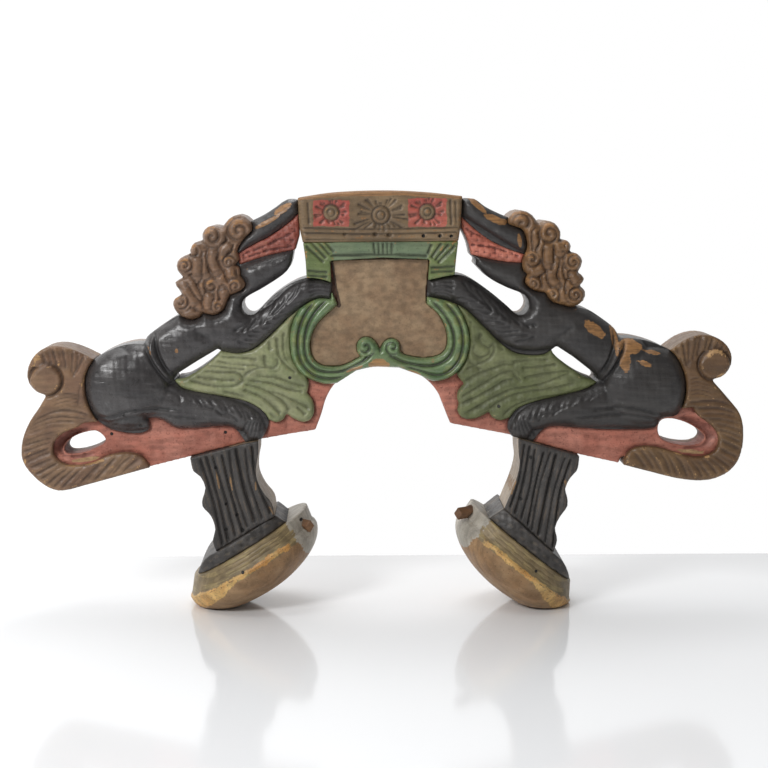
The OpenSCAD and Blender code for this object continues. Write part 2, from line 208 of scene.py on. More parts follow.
def ripple(form, size, seed=0.0):  # unevenness over the whole piece
    return unevenness(form["x"], form["z"], size, seed)


def startForm(points, edge):
    x, z = points[:, 0].copy(), points[:, 2].copy()
    form = {"x": x, "y": points[:, 1].copy(), "z": z, "rim": nearest(edge, x, z)}
    for layer in ("mass", "cut", "rise", *marks):
        form[layer] = np.zeros(len(x))
    return form


def smoothPath(points, gap=2.5):  # a curve through the places
    pts = [np.array(p, float) for p in points]
    if len(pts) == 2:
        pts = [pts[0], (pts[0] + pts[1]) / 2, pts[1]]
    ends = [2 * pts[0] - pts[1]] + pts + [2 * pts[-1] - pts[-2]]
    path = []
    for a, b, c, d in zip(ends, ends[1:], ends[2:], ends[3:]):
        count = max(1, int(np.linalg.norm(c - b) / gap))
        for t in np.arange(count) / count:
            path.append(0.5 * (2 * b + (c - a) * t + (2 * a - 5 * b + 4 * c - d) * t ** 2
                               + (3 * b - a - 3 * c + d) * t ** 3))
    return np.array(path + [pts[-1]])


def alongPath(form, points, reach):  # vertices near a path, how far off it and how far along it they are
    path = smoothPath(points)
    low, high = path.min(0) - reach, path.max(0) + reach
    x, z = form["x"], form["z"]
    near = np.nonzero((x > low[0]) & (x < high[0]) & (z > low[1]) & (z < high[1]))[0]
    off, place, hand, run = np.full(len(near), 1e6), np.zeros(len(near)), np.zeros(len(near)), 0.0
    px, pz = x[near], z[near]
    for start, end in zip(path, path[1:]):
        dx, dz = end - start
        length = math.hypot(dx, dz)
        t = unit(((px - start[0]) * dx + (pz - start[1]) * dz) / max(length ** 2, 1e-9))
        distance = np.hypot(px - start[0] - t * dx, pz - start[1] - t * dz)
        closer = distance < off
        off[closer] = distance[closer]
        hand[closer] = np.sign(dx * (pz - start[1]) - dz * (px - start[0]))[closer]
        place[closer] = run + t[closer] * length
        run += length
    inside = off < reach
    return near[inside], off[inside], place[inside] / max(run, 1e-6), hand[inside]


def taper(place, fade):  # nothing at a stroke's two ends, whole along its middle
    return np.clip(np.minimum(place, 1 - place) / max(fade, 1e-3), 0.0 if fade else 1.0, 1) ** 0.5


def band(value, centre, half):  # 1 on a line, fading to 0 at half a width from it
    return unit(1 - np.abs(value - centre) / half)


def sink(form, cut, near=slice(None), mark="cut"):
    form[mark][near] = np.maximum(form[mark][near], cut)


def groove(form, points, width, depth, fade=0.18):
    near, off, place, hand = alongPath(form, points, width)
    sink(form, depth * taper(place, fade) * unit(1 - off / width) ** 1.2, near)


def chip(form, points, width, depth, side, fade=0.1, steep=0.9):  # a cut, steep on one side, fading on the other
    near, off, place, hand = alongPath(form, points, width)
    reach = np.where(hand * side > 0, width, steep)
    sink(form, depth * taper(place, fade) * unit(1 - off / reach), near)


def between(guides, count, unrest=0.0):  # strokes shared out between guide strokes, never quite evenly
    chance = np.random.default_rng(10 * len(guides) + count)
    strokes = []
    for a, b in zip(guides, guides[1:]):
        strokes += [[(1 - k / count) * np.array(p) + k / count * np.array(q) for p, q in zip(a, b)]
                    for k in range(count)]
    strokes.append([np.array(p) for p in guides[-1]])
    return [[tuple(p + chance.normal(0, unrest, 2)) for p in points] for points in strokes]


def ridge(form, points, width, height):
    near, off, place, hand = alongPath(form, points, width)
    rise = height * taper(place, 0.18) * (0.5 + 0.5 * np.cos(np.pi * unit(off / width)))
    sink(form, rise, near, "rise")


def fan(form, guides, count, width, depth, fade=0.18):
    for points in between(guides, count):
        groove(form, points, width, depth, fade)


def chips(form, guides, count, width, depth, side, fade=0.1, unrest=0.7):
    chance = np.random.default_rng(count)
    for points in between(guides, count, unrest):
        chip(form, points, width * chance.uniform(0.8, 1.2), depth * chance.uniform(0.65, 1.15), side, fade)


def lock(form, points, half, height, depth):  # a rope of hair lying over what was carved before it
    near, off, place, hand = alongPath(form, points, half + 1.6)
    ends = np.clip(np.minimum(place, 1 - place) / 0.12, 0.35, 1)
    dome = height * ends * np.sqrt(unit(1 - (off / half) ** 2))
    form["rise"][near] = np.where(off < half, dome, form["rise"][near])
    form["cut"][near] = np.where(off < half - 0.8, 0.5 * band(off, half * 0.45, 0.7), form["cut"][near])
    sink(form, depth * ends * band(off, half + 0.2, 1.3), near)


def limb(form, points, radii, heights, blend=1.6):  # a rounded mass along a path
    near, off, place, hand = alongPath(form, points, max(radii))
    stops = np.linspace(0, 1, len(radii))
    radius, height = np.interp(place, stops, radii), np.interp(place, stops, heights)
    dome = height * np.sqrt(unit(1 - (off / radius) ** 2))
    mass = form["mass"][near]
    gap = unit((blend - np.abs(mass - dome)) / blend)
    form["mass"][near] = np.maximum(mass, dome) + gap ** 2 * blend / 4 * (dome > 0)


def curl(form, x, z, radius, turns, hand, start, depth, dome):  # a rolled lock of hair
    dx, dz = form["x"] - x, form["z"] - z
    r = np.hypot(dx, dz)
    near = np.nonzero(r < radius)[0]
    share = r[near] / radius
    phase = share * turns + hand * np.arctan2(dz[near], dx[near]) / (2 * math.pi) + start
    ribbon = np.abs(np.sin(math.pi * phase)) ** 0.7
    edge = unit((1 - share) / 0.12)
    form["cut"][near] *= 1 - edge
    sink(form, depth * (1 - ribbon) * edge, near)
    sink(form, dome * np.sqrt(1 - share ** 2), near, "rise")


def stain(form, mark, spots):  # marks soft-edged ovals: x, z, half length, half height, turn, strength
    for x, z, halfX, halfZ, turn, strength in spots:
        c, s = math.cos(math.radians(turn)), math.sin(math.radians(turn))
        dx, dz = form["x"] - x, form["z"] - z
        off = np.hypot((dx * c + dz * s) / halfX, (dz * c - dx * s) / halfZ)
        sink(form, strength * unit((1.35 - off) / 0.7), mark=mark)


def relief(form, style):  # height of the carved front over its ground
    share = unit(form["rim"] / style["roundness"])
    shoulder = np.sqrt(1 - (1 - share) ** 2)
    waver = style["waver"] * ripple(form, carving["waverSize"])
    body = style["low"] + form["mass"] + form["rise"] + waver
    return style["edge"] + shoulder * (body - style["edge"]) - form["cut"] * np.sqrt(share)


def shapeFront(form, height, ground, front, thickness):
    hinge = ground + thickness  # what lies behind this plane keeps its place
    ahead = form["y"] < hinge
    stretch = (ground - height - hinge) / (front - hinge)
    y = form["y"].copy()
    y[ahead] = hinge + (y[ahead] - hinge) * stretch[ahead]
    return y


def roughBack(form, y):  # shallow scoops of the knife across the back
    behind = y > plankBack - carving["backSkin"]
    scoops = unevenness(form["x"] * 0.45, form["z"], 4.5, 2.0)
    y[behind] = plankBack - carving["scoop"] * (1 + scoops[behind])
    return y


def finishPiece(piece, form, y, node, material):
    writePoints(piece, np.stack([form["x"], y, form["z"]], 1))
    markBends(piece)
    for mark in marks:
        putMark(piece, mark, form[mark])
    onlySelect(piece)
    bpy.ops.object.shade_smooth()
    piece.data.materials.append(material)
    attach(piece, "root")
    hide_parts(node)
    print("carved", piece.name, len(piece.data.polygons), "faces")


def putMark(piece, name, values):
    layer = piece.data.attributes.new(name, "FLOAT", "POINT")
    layer.data.foreach_set("value", unit(values).astype(np.float32))


def markBends(piece):  # proud edges wear bare and hollows are darkened
    points = readPoints(piece)
    normals = np.zeros(points.size)
    piece.data.vertices.foreach_get("normal", normals)
    soft = laplace(piece, points, carving["bendRounds"], carving["bendShare"])
    bend = ((points - soft) * normals.reshape(-1, 3)).sum(1) / carving["bendReach"]
    putMark(piece, "proud", bend)
    putMark(piece, "hollow", -bend)


# ---- shared effects
def newGroup(name, inputs, outputs):
    group = bpy.data.node_groups.new(name, "ShaderNodeTree")
    for label, kind, value in inputs:
        socket = group.interface.new_socket(label, in_out="INPUT", socket_type=kind)
        if value is not None:
            socket.default_value = value
    for label, kind in outputs:
        group.interface.new_socket(label, in_out="OUTPUT", socket_type=kind)
    return group, group.nodes.new("NodeGroupInput"), group.nodes.new("NodeGroupOutput")


def wire(tree, source, target):
    tree.links.new(source, target)


def calc(tree, kind, a, b=None, c=None, clamp=False):
    node = tree.nodes.new("ShaderNodeMath")
    node.operation = kind
    node.use_clamp = clamp
    for index, value in enumerate((a, b, c)):
        if value is None:
            continue
        if isinstance(value, (int, float)):
            node.inputs[index].default_value = value
        else:
            wire(tree, value, node.inputs[index])
    return node.outputs[0]


def blendColor(tree, share, a, b, kind="MIX"):
    node = tree.nodes.new("ShaderNodeMix")
    node.data_type = "RGBA"
    node.blend_type = kind
    for label, value in (("Factor", share), ("A", a), ("B", b)):
        if isinstance(value, (float, tuple)):
            node.inputs[label].default_value = value
        else:
            wire(tree, value, node.inputs[label])
    return [o for o in node.outputs if o.type == "RGBA"][0]


def ramp(tree, value, low, high):  # 0 below low, 1 above high, smooth between
    node = tree.nodes.new("ShaderNodeMapRange")
    node.interpolation_type = "SMOOTHSTEP"
    node.inputs["From Min"].default_value = low
    node.inputs["From Max"].default_value = high
    wire(tree, value, node.inputs["Value"])
    return node.outputs["Result"]


def noise(tree, coords, scale, detail=3.0, roughness=0.55, stretch=None):
    if stretch is not None:
        mapping = tree.nodes.new("ShaderNodeVectorMath")
        mapping.operation = "MULTIPLY"
        wire(tree, coords, mapping.inputs[0])
        wire(tree, stretch, mapping.inputs[1])
        coords = mapping.outputs[0]
    node = tree.nodes.new("ShaderNodeTexNoise")
    for label, value in (("Scale", scale), ("Detail", detail), ("Roughness", roughness)):
        node.inputs[label].default_value = value
    wire(tree, coords, node.inputs["Vector"])
    return node.outputs["Fac"]


def attribute(tree, name):
    node = tree.nodes.new("ShaderNodeAttribute")
    node.attribute_name = name
    return node.outputs["Fac"]


def objectCoords(tree):
    return tree.nodes.new("ShaderNodeTexCoord").outputs["Object"]


agedLook = {  # each pattern's fineness, detail and roughness
    "blotch": (38, 4, 0.6), "patch": (190, 4, 0.6), "speck": (900, 2, 0.5), "fleck": (620, 5, 0.7),
    "grain": (700, 4, 0.6), "brush": (260, 3, 0.5)}


def makeAgedPaint():  # paint over wood: blotches, brush marks, darkened hollows, worn edges
    colors = [(label, "NodeSocketColor", None) for label in ("Paint", "Faded", "Wood", "Dirt")]
    values = [(label, "NodeSocketFloat", 0.5) for label in ("Wear", "HollowDarkening", "Speckle", "Grime", "Gloss")]
    group, given, out = newGroup(
        "agedPaint", colors + values + [("Stretch", "NodeSocketVector", (0.08, 1.0, 1.0))],
        [("Color", "NodeSocketColor"), ("Roughness", "NodeSocketFloat"), ("Height", "NodeSocketFloat")])
    given = given.outputs

    def mulAdd(a, b, c, clamp=False):
        return calc(group, "MULTIPLY_ADD", a, b, c, clamp)

    def times(a, b, clamp=False):
        return calc(group, "MULTIPLY", a, b, None, clamp)

    coords = objectCoords(group)
    blotch, patch, speck, fleck = [
        noise(group, coords, *agedLook[label]) for label in ("blotch", "patch", "speck", "fleck")]
    grain, brush = [noise(group, coords, *agedLook[label], given["Stretch"]) for label in ("grain", "brush")]
    paint = blendColor(group, ramp(group, blotch, 0.38, 0.66), given["Paint"], given["Faded"])
    streak = mulAdd(ramp(group, brush, 0.3, 0.7), 0.42, 0.79)
    shade = group.nodes.new("ShaderNodeCombineColor")
    for channel in ("Red", "Green", "Blue"):
        wire(group, streak, shade.inputs[channel])
    paint = blendColor(group, 1.0, paint, shade.outputs[0], "MULTIPLY")
    speckled = times(ramp(group, speck, 0.55, 0.72), given["Speckle"])
    paint = blendColor(group, speckled, paint, given["Faded"])
    woodDark = blendColor(group, ramp(group, grain, 0.35, 0.65), given["Wood"], given["Dirt"])
    wood = blendColor(group, 0.45, given["Wood"], woodDark)
    worn = times(attribute(group, "proud"), given["Wear"])
    worn = calc(group, "ADD", worn, attribute(group, "bare"))
    worn = mulAdd(calc(group, "SUBTRACT", patch, 0.5), 1.1, worn)
    worn = mulAdd(calc(group, "SUBTRACT", speck, 0.5), 0.5, worn)
    bare = ramp(group, worn, 0.5, 0.62)
    color = blendColor(group, bare, paint, wood)
    # darkens the hollows found from the curvature of the mesh
    darkenedHollow = times(attribute(group, "hollow"), given["HollowDarkening"], clamp=True)
    darkenedHollow = times(darkenedHollow, mulAdd(patch, 0.7, 0.6), clamp=True)
    color = blendColor(group, darkenedHollow, color, given["Dirt"])
    flecked = times(ramp(group, fleck, 0.56, 0.68), given["Grime"])
    wire(group, blendColor(group, flecked, color, given["Dirt"]), out.inputs["Color"])
    rough = mulAdd(ramp(group, patch, 0.3, 0.7), 0.16, given["Gloss"])
    rough = mulAdd(bare, 0.14, rough)
    wire(group, mulAdd(darkenedHollow, 0.2, rough, clamp=True), out.inputs["Roughness"])
    height = mulAdd(grain, 0.5, times(patch, 0.8))
    for part, share in ((bare, -0.25), (speck, 0.16), (flecked, -0.5)):
        height = mulAdd(part, share, height)
    wire(group, height, out.inputs["Height"])
    return group


def makeWormHole():
    group, given, out = newGroup(
        "wormHole", [("Place", "NodeSocketVector", None), ("Radius", "NodeSocketFloat", 0.001)],
        [("Mask", "NodeSocketFloat")])
    apart = group.nodes.new("ShaderNodeVectorMath")
    apart.operation = "DISTANCE"
    for index, vector in enumerate((objectCoords(group), given.outputs["Place"])):
        flat = group.nodes.new("ShaderNodeVectorMath")
        flat.operation = "MULTIPLY"
        flat.inputs[1].default_value = (1, 0, 1)
        wire(group, vector, flat.inputs[0])
        wire(group, flat.outputs[0], apart.inputs[index])
    share = calc(group, "DIVIDE", apart.outputs["Value"], given.outputs["Radius"])
    wire(group, calc(group, "SUBTRACT", 1.0, ramp(group, share, 0.75, 1.1)), out.inputs["Mask"])
    return group


agedPaint = makeAgedPaint()
wormHole = makeWormHole()


def rgb(red, green, blue):  # screen colour from 0 to 255, as Blender's linear colour
    linear = [(c / 255 / 12.92) if c <= 10 else ((c / 255 + 0.055) / 1.055) ** 2.4 for c in (red, green, blue)]
    return (*linear, 1.0)


def paintedWood(name, paint, faded, dirt, wear, gloss, wood=(176, 138, 92), hollowDarkening=0.7, speckle=0.3,
                grime=0.25, stretch=(0.08, 1.0, 1.0), bump=0.35, layers=(), holes=(), coat=0.0):
    material = bpy.data.materials.new(name)
    material.use_nodes = True
    tree = material.node_tree
    shader = tree.nodes["Principled BSDF"]

    def coatOf(paintColor, fadedColor, wearing, grimy=grime):
        node = tree.nodes.new("ShaderNodeGroup")
        node.node_tree = agedPaint
        for label, value in (("Paint", rgb(*paintColor)), ("Faded", rgb(*fadedColor)), ("Wood", rgb(*wood)),
                             ("Dirt", rgb(*dirt)), ("Wear", wearing), ("HollowDarkening", hollowDarkening),
                             ("Speckle", speckle), ("Grime", grimy), ("Gloss", gloss), ("Stretch", stretch)):
            node.inputs[label].default_value = value
        return node

    base = coatOf(paint, faded, wear)
    color = base.outputs["Color"]
    for mark, *look in layers:
        layer = coatOf(*look)
        edge = calc(tree, "MULTIPLY_ADD", noise(tree, objectCoords(tree), 500, 2), 0.5, attribute(tree, mark))
        color = blendColor(tree, ramp(tree, edge, 0.68, 0.82), color, layer.outputs["Color"])
    height = base.outputs["Height"]
    # each worm hole is painted near-black, painted shade for the depth of a hole that the mesh doesn't have; its
    # bump dips as well
    for x, z in holes:
        hole = tree.nodes.new("ShaderNodeGroup")
        hole.node_tree = wormHole
        hole.inputs["Place"].default_value = (x * mm, 0, z * mm)
        hole.inputs["Radius"].default_value = carving["holeRadius"] * mm
        color = blendColor(tree, hole.outputs["Mask"], color, rgb(14, 10, 8))
        height = calc(tree, "MULTIPLY_ADD", hole.outputs["Mask"], -2.0, height)
    wire(tree, color, shader.inputs["Base Color"])
    wire(tree, base.outputs["Roughness"], shader.inputs["Roughness"])
    if coat:
        shader.inputs["Coat Weight"].default_value = coat
        shader.inputs["Coat Roughness"].default_value = 0.28
    bumpNode = tree.nodes.new("ShaderNodeBump")
    bumpNode.inputs["Strength"].default_value = min(1.0, carving["bumpGain"] * bump)
    bumpNode.inputs["Distance"].default_value = carving["bumpDepth"] * mm
    wire(tree, height, bumpNode.inputs["Height"])
    wire(tree, bumpNode.outputs["Normal"], shader.inputs["Normal"])
    return material


# ---- carving each piece
reliefEdges = []
woodBehind = ("behind", (112, 84, 58), (138, 108, 78), 0.1)


sideShift = {  # how far the right-hand beast's places differ from the left's, by height
    "height": [150, 190, 215, 260, 332], "x": [7, 4.5, 3, -4, -6], "z": [-1, 0.5, 3, 3, 1]}


def across(points):  # the same strokes on the right-hand beast
    return [(-x + float(np.interp(z, sideShift["height"], sideShift["x"])),
             z + float(np.interp(z, sideShift["height"], sideShift["z"]))) for x, z in points]


def pieceName(node):  # lion_left becomes lionLeft
    first, *rest = node.split("_")
    return first + "".join(word.capitalize() for word in rest)


def carvePiece(node, slot, material, style, grain, work, *details):
    piece, edge = block(node, pieceName(node), grain)
    low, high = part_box(node)
    form = startForm(readPoints(piece), edge)
    work(form, *details)
    ground, hinge = style.get("ground", groundY), style.get("hinge", carving["hinge"])
    y = shapeFront(form, relief(form, style), ground, low.y / mm, hinge)
    if high.y / mm > plankBack - 2:
        y = roughBack(form, y)
    points = np.stack([form["x"], y, form["z"]], 1)
    y = laplace(piece, points, style.get("soften", 1), carving["softening"])[:, 1]
    form["behind"] = unit((form["y"] + 7) / 4 + ripple(form, 3.0))
    reliefEdges.extend(edge[::3])
    finishPiece(piece, form, y, node, material)


# lions
lionStyle = {"roundness": 9.0, "edge": 1.6, "low": 3.0, "waver": 0.22}
lionPaint = dict(paint=(54, 51, 51), faded=(68, 65, 64), wood=(158, 114, 68), dirt=(22, 20, 20), wear=0.3,
                 hollowDarkening=0.8, speckle=0.35, gloss=0.24, stretch=(0.1, 1, 1), bump=0.55, coat=0.25)
lionLimbs = [
    ([(-210, 184), (-202, 183)], [31, 31], [14, 14]),
    ([(-228, 163), (-205, 160), (-180, 163), (-150, 163)], [9, 11, 12, 12], [3, 5, 6, 6]),
    ([(-190, 172), (-165, 170), (-135, 165), (-110, 158), (-102, 148)], [16, 16, 14, 11, 8], [7, 7, 7, 6, 5]),
    ([(-188, 202), (-160, 218), (-138, 232), (-118, 236)], [22, 21, 20, 19], [9, 10, 10, 9]),
    ([(-132, 226), (-108, 225), (-86, 238), (-66, 257), (-46, 262)], [15, 14, 12, 10, 9], [8, 9, 7, 6, 5]),
    ([(-72, 326), (-95, 312), (-118, 300)], [8, 9, 11], [6, 6, 6]),
    ([(-76, 285), (-95, 276), (-114, 267)], [8, 10, 12], [5, 6, 6]),
    ([(-120, 262), (-130, 243)], [14, 16], [7, 8])]
lionGrooves = [
    ([(-238, 166), (-222, 160.5), (-200, 166.5), (-180, 168), (-160, 166)], 2.4, 1.6),
    ([(-232, 158), (-216, 157), (-200, 161), (-180, 162.5), (-160, 160.5), (-140, 158.5)], 2.2, 1.5),
    ([(-216, 154), (-206, 158)], 1.8, 1.0),
    ([(-190, 224), (-188, 214), (-182, 202), (-170, 186)], 2.2, 3.0),
    ([(-181, 229), (-180, 216), (-175, 203), (-166, 190)], 2.6, 3.4),
    ([(-130, 214), (-140, 224), (-150, 230)], 6.0, 1.5),
    ([(-112, 249), (-118, 243), (-110, 238)], 3.0, 1.0)]
cinchRidge = [(-186, 226), (-184.5, 214), (-179, 202), (-171, 190)]
shankTufts = [
    [(-162, 180), (-150, 176), (-143, 168)], [(-152, 179), (-140, 174), (-134, 166)],
    [(-142, 177), (-130, 172), (-124, 163)], [(-131, 175), (-120, 169), (-114, 159)],
    [(-119, 172), (-110, 166), (-106, 157)], [(-109, 168), (-102, 163), (-99, 154)]]
thighTufts = [[(-172, 182), (-165, 178), (-160, 174)], [(-158, 180), (-150, 175), (-144, 170)],
              [(-144, 170), (-135, 166), (-128, 161)], [(-128, 165), (-121, 161), (-117, 156)]]
footToes = [[(-108, 158), (-111, 152), (-115, 145)], [(-98, 157), (-99, 150), (-99.5, 143)]]
armTufts = [[(-66, 266), (-71, 257), (-78, 249)], [(-76, 260), (-81, 250), (-88, 241)],
            [(-86, 253), (-91, 243), (-98, 234)], [(-96, 246), (-101, 237), (-108, 229)],
            [(-106, 240), (-112, 233), (-119, 228)]]
armTuftsLow = [[(-56, 251), (-66, 252), (-77, 248)], [(-67, 243), (-76, 243), (-87, 240)],
               [(-77, 234), (-86, 234), (-97, 232)], [(-87, 225), (-96, 226), (-107, 226)],
               [(-99, 217), (-107, 219), (-117, 221)]]
handFingers = [[(-60, 269), (-52, 268), (-43, 266)], [(-58, 252), (-51, 256), (-43, 255.5)]]
furStrokes = [  # guide strokes, width, depth, steep side
    (shankTufts, 3.2, 1.7, 1), (thighTufts, 3.0, 1.3, 1), (armTufts, 3.4, 2.0, -1), (armTuftsLow, 3.0, 1.7, 1)]


def lionWork(form, turn, bareSpots):
    side = 1 if turn is list else -1
    for points, radii, heights in lionLimbs:
        limb(form, turn(points), radii, heights)
    for points, width, depth in lionGrooves:
        groove(form, turn(points), width, depth)
    ridge(form, turn(cinchRidge), 2.6, 1.4)
    for guides, width, depth, hand in furStrokes:
        chips(form, [turn(g) for g in guides], 2, width, depth, hand * side)
    fan(form, [turn(g) for g in footToes], 4, 1.7, 2.2, 0.08)
    fan(form, [turn(g) for g in handFingers], 4, 1.7, 1.9, 0.05)
    form["rise"] += 0.3 * ripple(form, 3.2, 2.2)
    stain(form, "bare", bareSpots)


wornLeft = [(-80, 325, 7, 2.6, 35, 1.0), (-92, 315, 10, 1.6, 28, 0.9), (-164, 214, 1.4, 1.7, 0, 1.0),
            (-186, 214, 1.4, 8, 12, 0.32), (-58, 291, 4, 1, 0, 0.5)]
wornRight = [(74, 328, 9, 2.0, -42, 1.0), (88, 317, 9, 2.6, -22, 1.0), (167, 230, 10, 4.5, -38, 1.0),
             (183, 224, 2.4, 12, 8, 1.0), (196, 216, 9, 5.5, -8, 1.0), (192, 205, 4.5, 9, 0, 0.9),
             (207, 203, 8, 2.2, -20, 0.75), (107, 300, 1.6, 5, 10, 0.7), (212, 212, 9, 1.6, -12, 0.7)]
holesLeft = [(-206, 162.5), (-197, 166.5), (-194, 153.5)]


def buildLions():
    left = paintedWood("lionBlackLeft", **lionPaint, layers=[woodBehind], holes=holesLeft)
    # the right-hand lion's paint is darker: partly its own tone, partly painted shade for the weaker light on that
    # side
    dullAndShaded = dict(lionPaint, paint=(46, 43, 42), faded=(54, 51, 49), gloss=0.32, coat=0.12)
    right = paintedWood("lionBlackRight", **dullAndShaded, layers=[woodBehind])
    carvePiece("lion_left", "lion_black", left, lionStyle, 0.9, lionWork, list, wornLeft)
    carvePiece("lion_right", "lion_black", right, lionStyle, 0.9, lionWork, across, wornRight)


# mouths
mouthStyle = {"roundness": 3.0, "edge": 1.0, "low": 3.4, "waver": 0.5}
lipLines = [[(-68, 309), (-90, 298), (-115, 288)], [(-68, 296), (-90, 293), (-112, 286)]]


def mouthWork(form, turn):
    for points in lipLines:
        groove(form, turn(points), 1.8, 1.6)
    form["rise"] += 0.9 * ripple(form, 1.5, 4.0) + 0.7 * ripple(form, 2.9)


def buildMouths():
    worn = dict(wood=(170, 120, 84), dirt=(74, 30, 24), wear=0.35, hollowDarkening=0.9, speckle=0.5, gloss=0.4, bump=0.6,
                layers=[woodBehind])
    left = paintedWood("mouthRedLeft", paint=(142, 74, 62), faded=(166, 100, 84), **worn)
    right = paintedWood("mouthRedRight", paint=(176, 98, 80), faded=(196, 122, 102), **worn)
    carvePiece("mouth_left", "mouth_red", left, mouthStyle, 0.8, mouthWork, list)
    carvePiece("mouth_right", "mouth_red", right, mouthStyle, 0.8, mouthWork, across)


# manes
maneStyle = {
    "roundness": 4.0, "edge": 3.0, "low": 8.2, "waver": 0.3, "sway": 1.6,
    "lock": (4.2, 3.0, 2.2), "curl": (3.4, 3.0)}  # a lock's half width, height and depth; a curl's depth and height
leftCurls = [  # place, radius, turns, hand, start
    (-114, 308, 11.5, 1.7, 1, 0.2), (-135, 303.5, 9, 1.6, -1, 0.1), (-156.7, 281, 8.2, 2.3, -1, 0.4),
    (-160.5, 252, 9, 2.6, -1, 0.3), (-136.3, 265, 6.5, 1.2, 1, 0.5), (-122.5, 283.5, 6.5, 1.9, 1, 0.2),
    (-117.3, 264.5, 6.5, 1.6, -1, 0.6), (-150, 293, 6, 1.2, 1, 0.3), (-131, 248, 6, 1.4, 1, 0.1)]
leftStrands = [
    [(-165, 266), (-158, 261.5), (-150, 258)], [(-160, 271), (-153, 269), (-144, 274), (-139, 282)],
    [(-142, 268), (-142.5, 257), (-144, 246)], [(-160, 244), (-154, 243), (-146, 247)],
    [(-130, 263.5), (-133.5, 254), (-134, 248)], [(-130.6, 275), (-124.7, 266), (-121, 260)],
    [(-121.6, 278.5), (-121.6, 271)], [(-139.3, 288), (-141.5, 279), (-142.5, 273.5)],
    [(-128, 309), (-127, 300), (-130, 291)], [(-120, 298), (-126, 292), (-128, 284)],
    [(-147, 288), (-146, 280), (-149, 272)], [(-134, 294), (-134, 285), (-133, 276)],
    [(-154, 268), (-149, 262), (-147, 252)], [(-158, 264), (-152, 256), (-149, 249)],
    [(-137, 259), (-138, 252), (-139, 246)], [(-127, 262), (-127, 255)], [(-114, 296), (-118, 290)]]
rightCurls = [(109, 314, 11.5, 1.7, -1, 0.2), (131, 306, 9.5, 1.6, 1, 0.1), (150, 283.5, 8, 2.1, 1, 0.4),
              (152, 257.5, 9, 2.2, 1, 0.3), (117, 285.7, 7.5, 1.6, -1, 0.5), (118, 266.5, 6.5, 1.8, 1, 0.2),
              (133.7, 257.4, 5.8, 1.4, -1, 0.6), (144, 296, 5, 1.0, 1, 0.3)]
rightStrands = [
    [(114.6, 311), (115.2, 299.6), (114, 291)], [(119.8, 311), (122.7, 294), (121, 285)],
    [(124.4, 308), (125.6, 299.6), (125, 291), (122.7, 283.4)], [(131.5, 280.5), (129.7, 273.5), (128, 266)],
    [(140, 282), (140, 270.6), (143.6, 265), (143.6, 249)], [(145, 279), (146, 270.6)],
    [(137.2, 299.6), (137.8, 291.4)], [(126, 279), (120, 275), (113, 276)], [(135, 284), (134, 272), (136, 265)],
    [(156, 271), (149, 266), (146, 260)], [(130, 298), (131, 288), (129, 281)], [(149, 274), (152, 267)]]


def maneWork(form, curls, strands):
    form["cut"] += 1.4 * unit(ripple(form, 2.6, 5.0))
    for points in strands:
        sway = maneStyle["sway"] * (-1) ** len(points)
        swaying = [(x + sway * math.sin(2.1 * n), z) for n, (x, z) in enumerate(points)]
        lock(form, swaying, *maneStyle["lock"])
    for x, z, radius, *rest in curls:
        curl(form, x, z, radius, *rest, *maneStyle["curl"])
        stain(form, "bare", [(x - radius * 0.2, z + radius * 0.55, radius * 0.6, radius * 0.35, 0, 0.3)])


def buildManes():
    brown = dict(paint=(118, 92, 72), faded=(134, 102, 78), wood=(168, 122, 76), dirt=(58, 40, 28), wear=0.36,
                 hollowDarkening=0.72, speckle=0.4, gloss=0.28, bump=0.55, layers=[woodBehind])
    left = paintedWood("maneBrownLeft", **brown)
    right = paintedWood("maneBrownRight", **dict(brown, paint=(114, 84, 56), faded=(130, 98, 66)))
    carvePiece("mane_left", "mane_brown", left, maneStyle, 0.9, maneWork, leftCurls, leftStrands)
    carvePiece("mane_right", "mane_brown", right, maneStyle, 0.9, maneWork, rightCurls, rightStrands)


# wings
wingStyle = {"roundness": 4.0, "edge": 1.6, "low": 5.6, "waver": 0.35, "soften": 2}
leftFeathers = [
    [(-130, 208), (-118, 207.5), (-108, 206.5), (-101, 205)],
    [(-135, 205), (-122, 202), (-108, 201), (-96, 200)],
    [(-144, 196.5), (-129, 195.5), (-118, 195.5), (-113, 192), (-113, 189), (-118, 187)],
    [(-150, 192), (-137, 190), (-124, 189), (-118, 189)], [(-155, 189), (-139, 185), (-122, 184), (-113, 187)],
    [(-112, 192), (-103, 198), (-92, 200)], [(-112, 186), (-99, 182.5), (-86, 176), (-78, 168.5), (-78, 161)],
    [(-108, 189), (-92, 187), (-76, 181.5), (-64, 179.5)], [(-101, 192), (-86, 191), (-73, 186.5), (-62.5, 184)],
    [(-99, 182.5), (-84, 178), (-69, 171), (-59, 165.5)],
    [(-129, 180.5), (-113, 176), (-101, 170), (-93, 163.5), (-86.5, 157)],
    [(-113, 181.5), (-101, 177), (-91, 170), (-83, 161.5)],
    [(-86, 224), (-85, 215), (-83, 207), (-78, 201), (-69.5, 194.5)],
    [(-80, 228.5), (-80.5, 216), (-78.5, 207), (-72.5, 200), (-64, 192)],
    [(-72.5, 235), (-77, 223), (-77.5, 212), (-74, 204.5)], [(-92, 222), (-91, 213.5)],
    [(-95, 210), (-96, 205), (-94, 200), (-87.5, 199), (-84, 203), (-85, 208)],
    [(-140, 201), (-124, 199), (-110, 197.5)], [(-70, 168), (-63, 161)], [(-106, 166), (-99, 159)]]
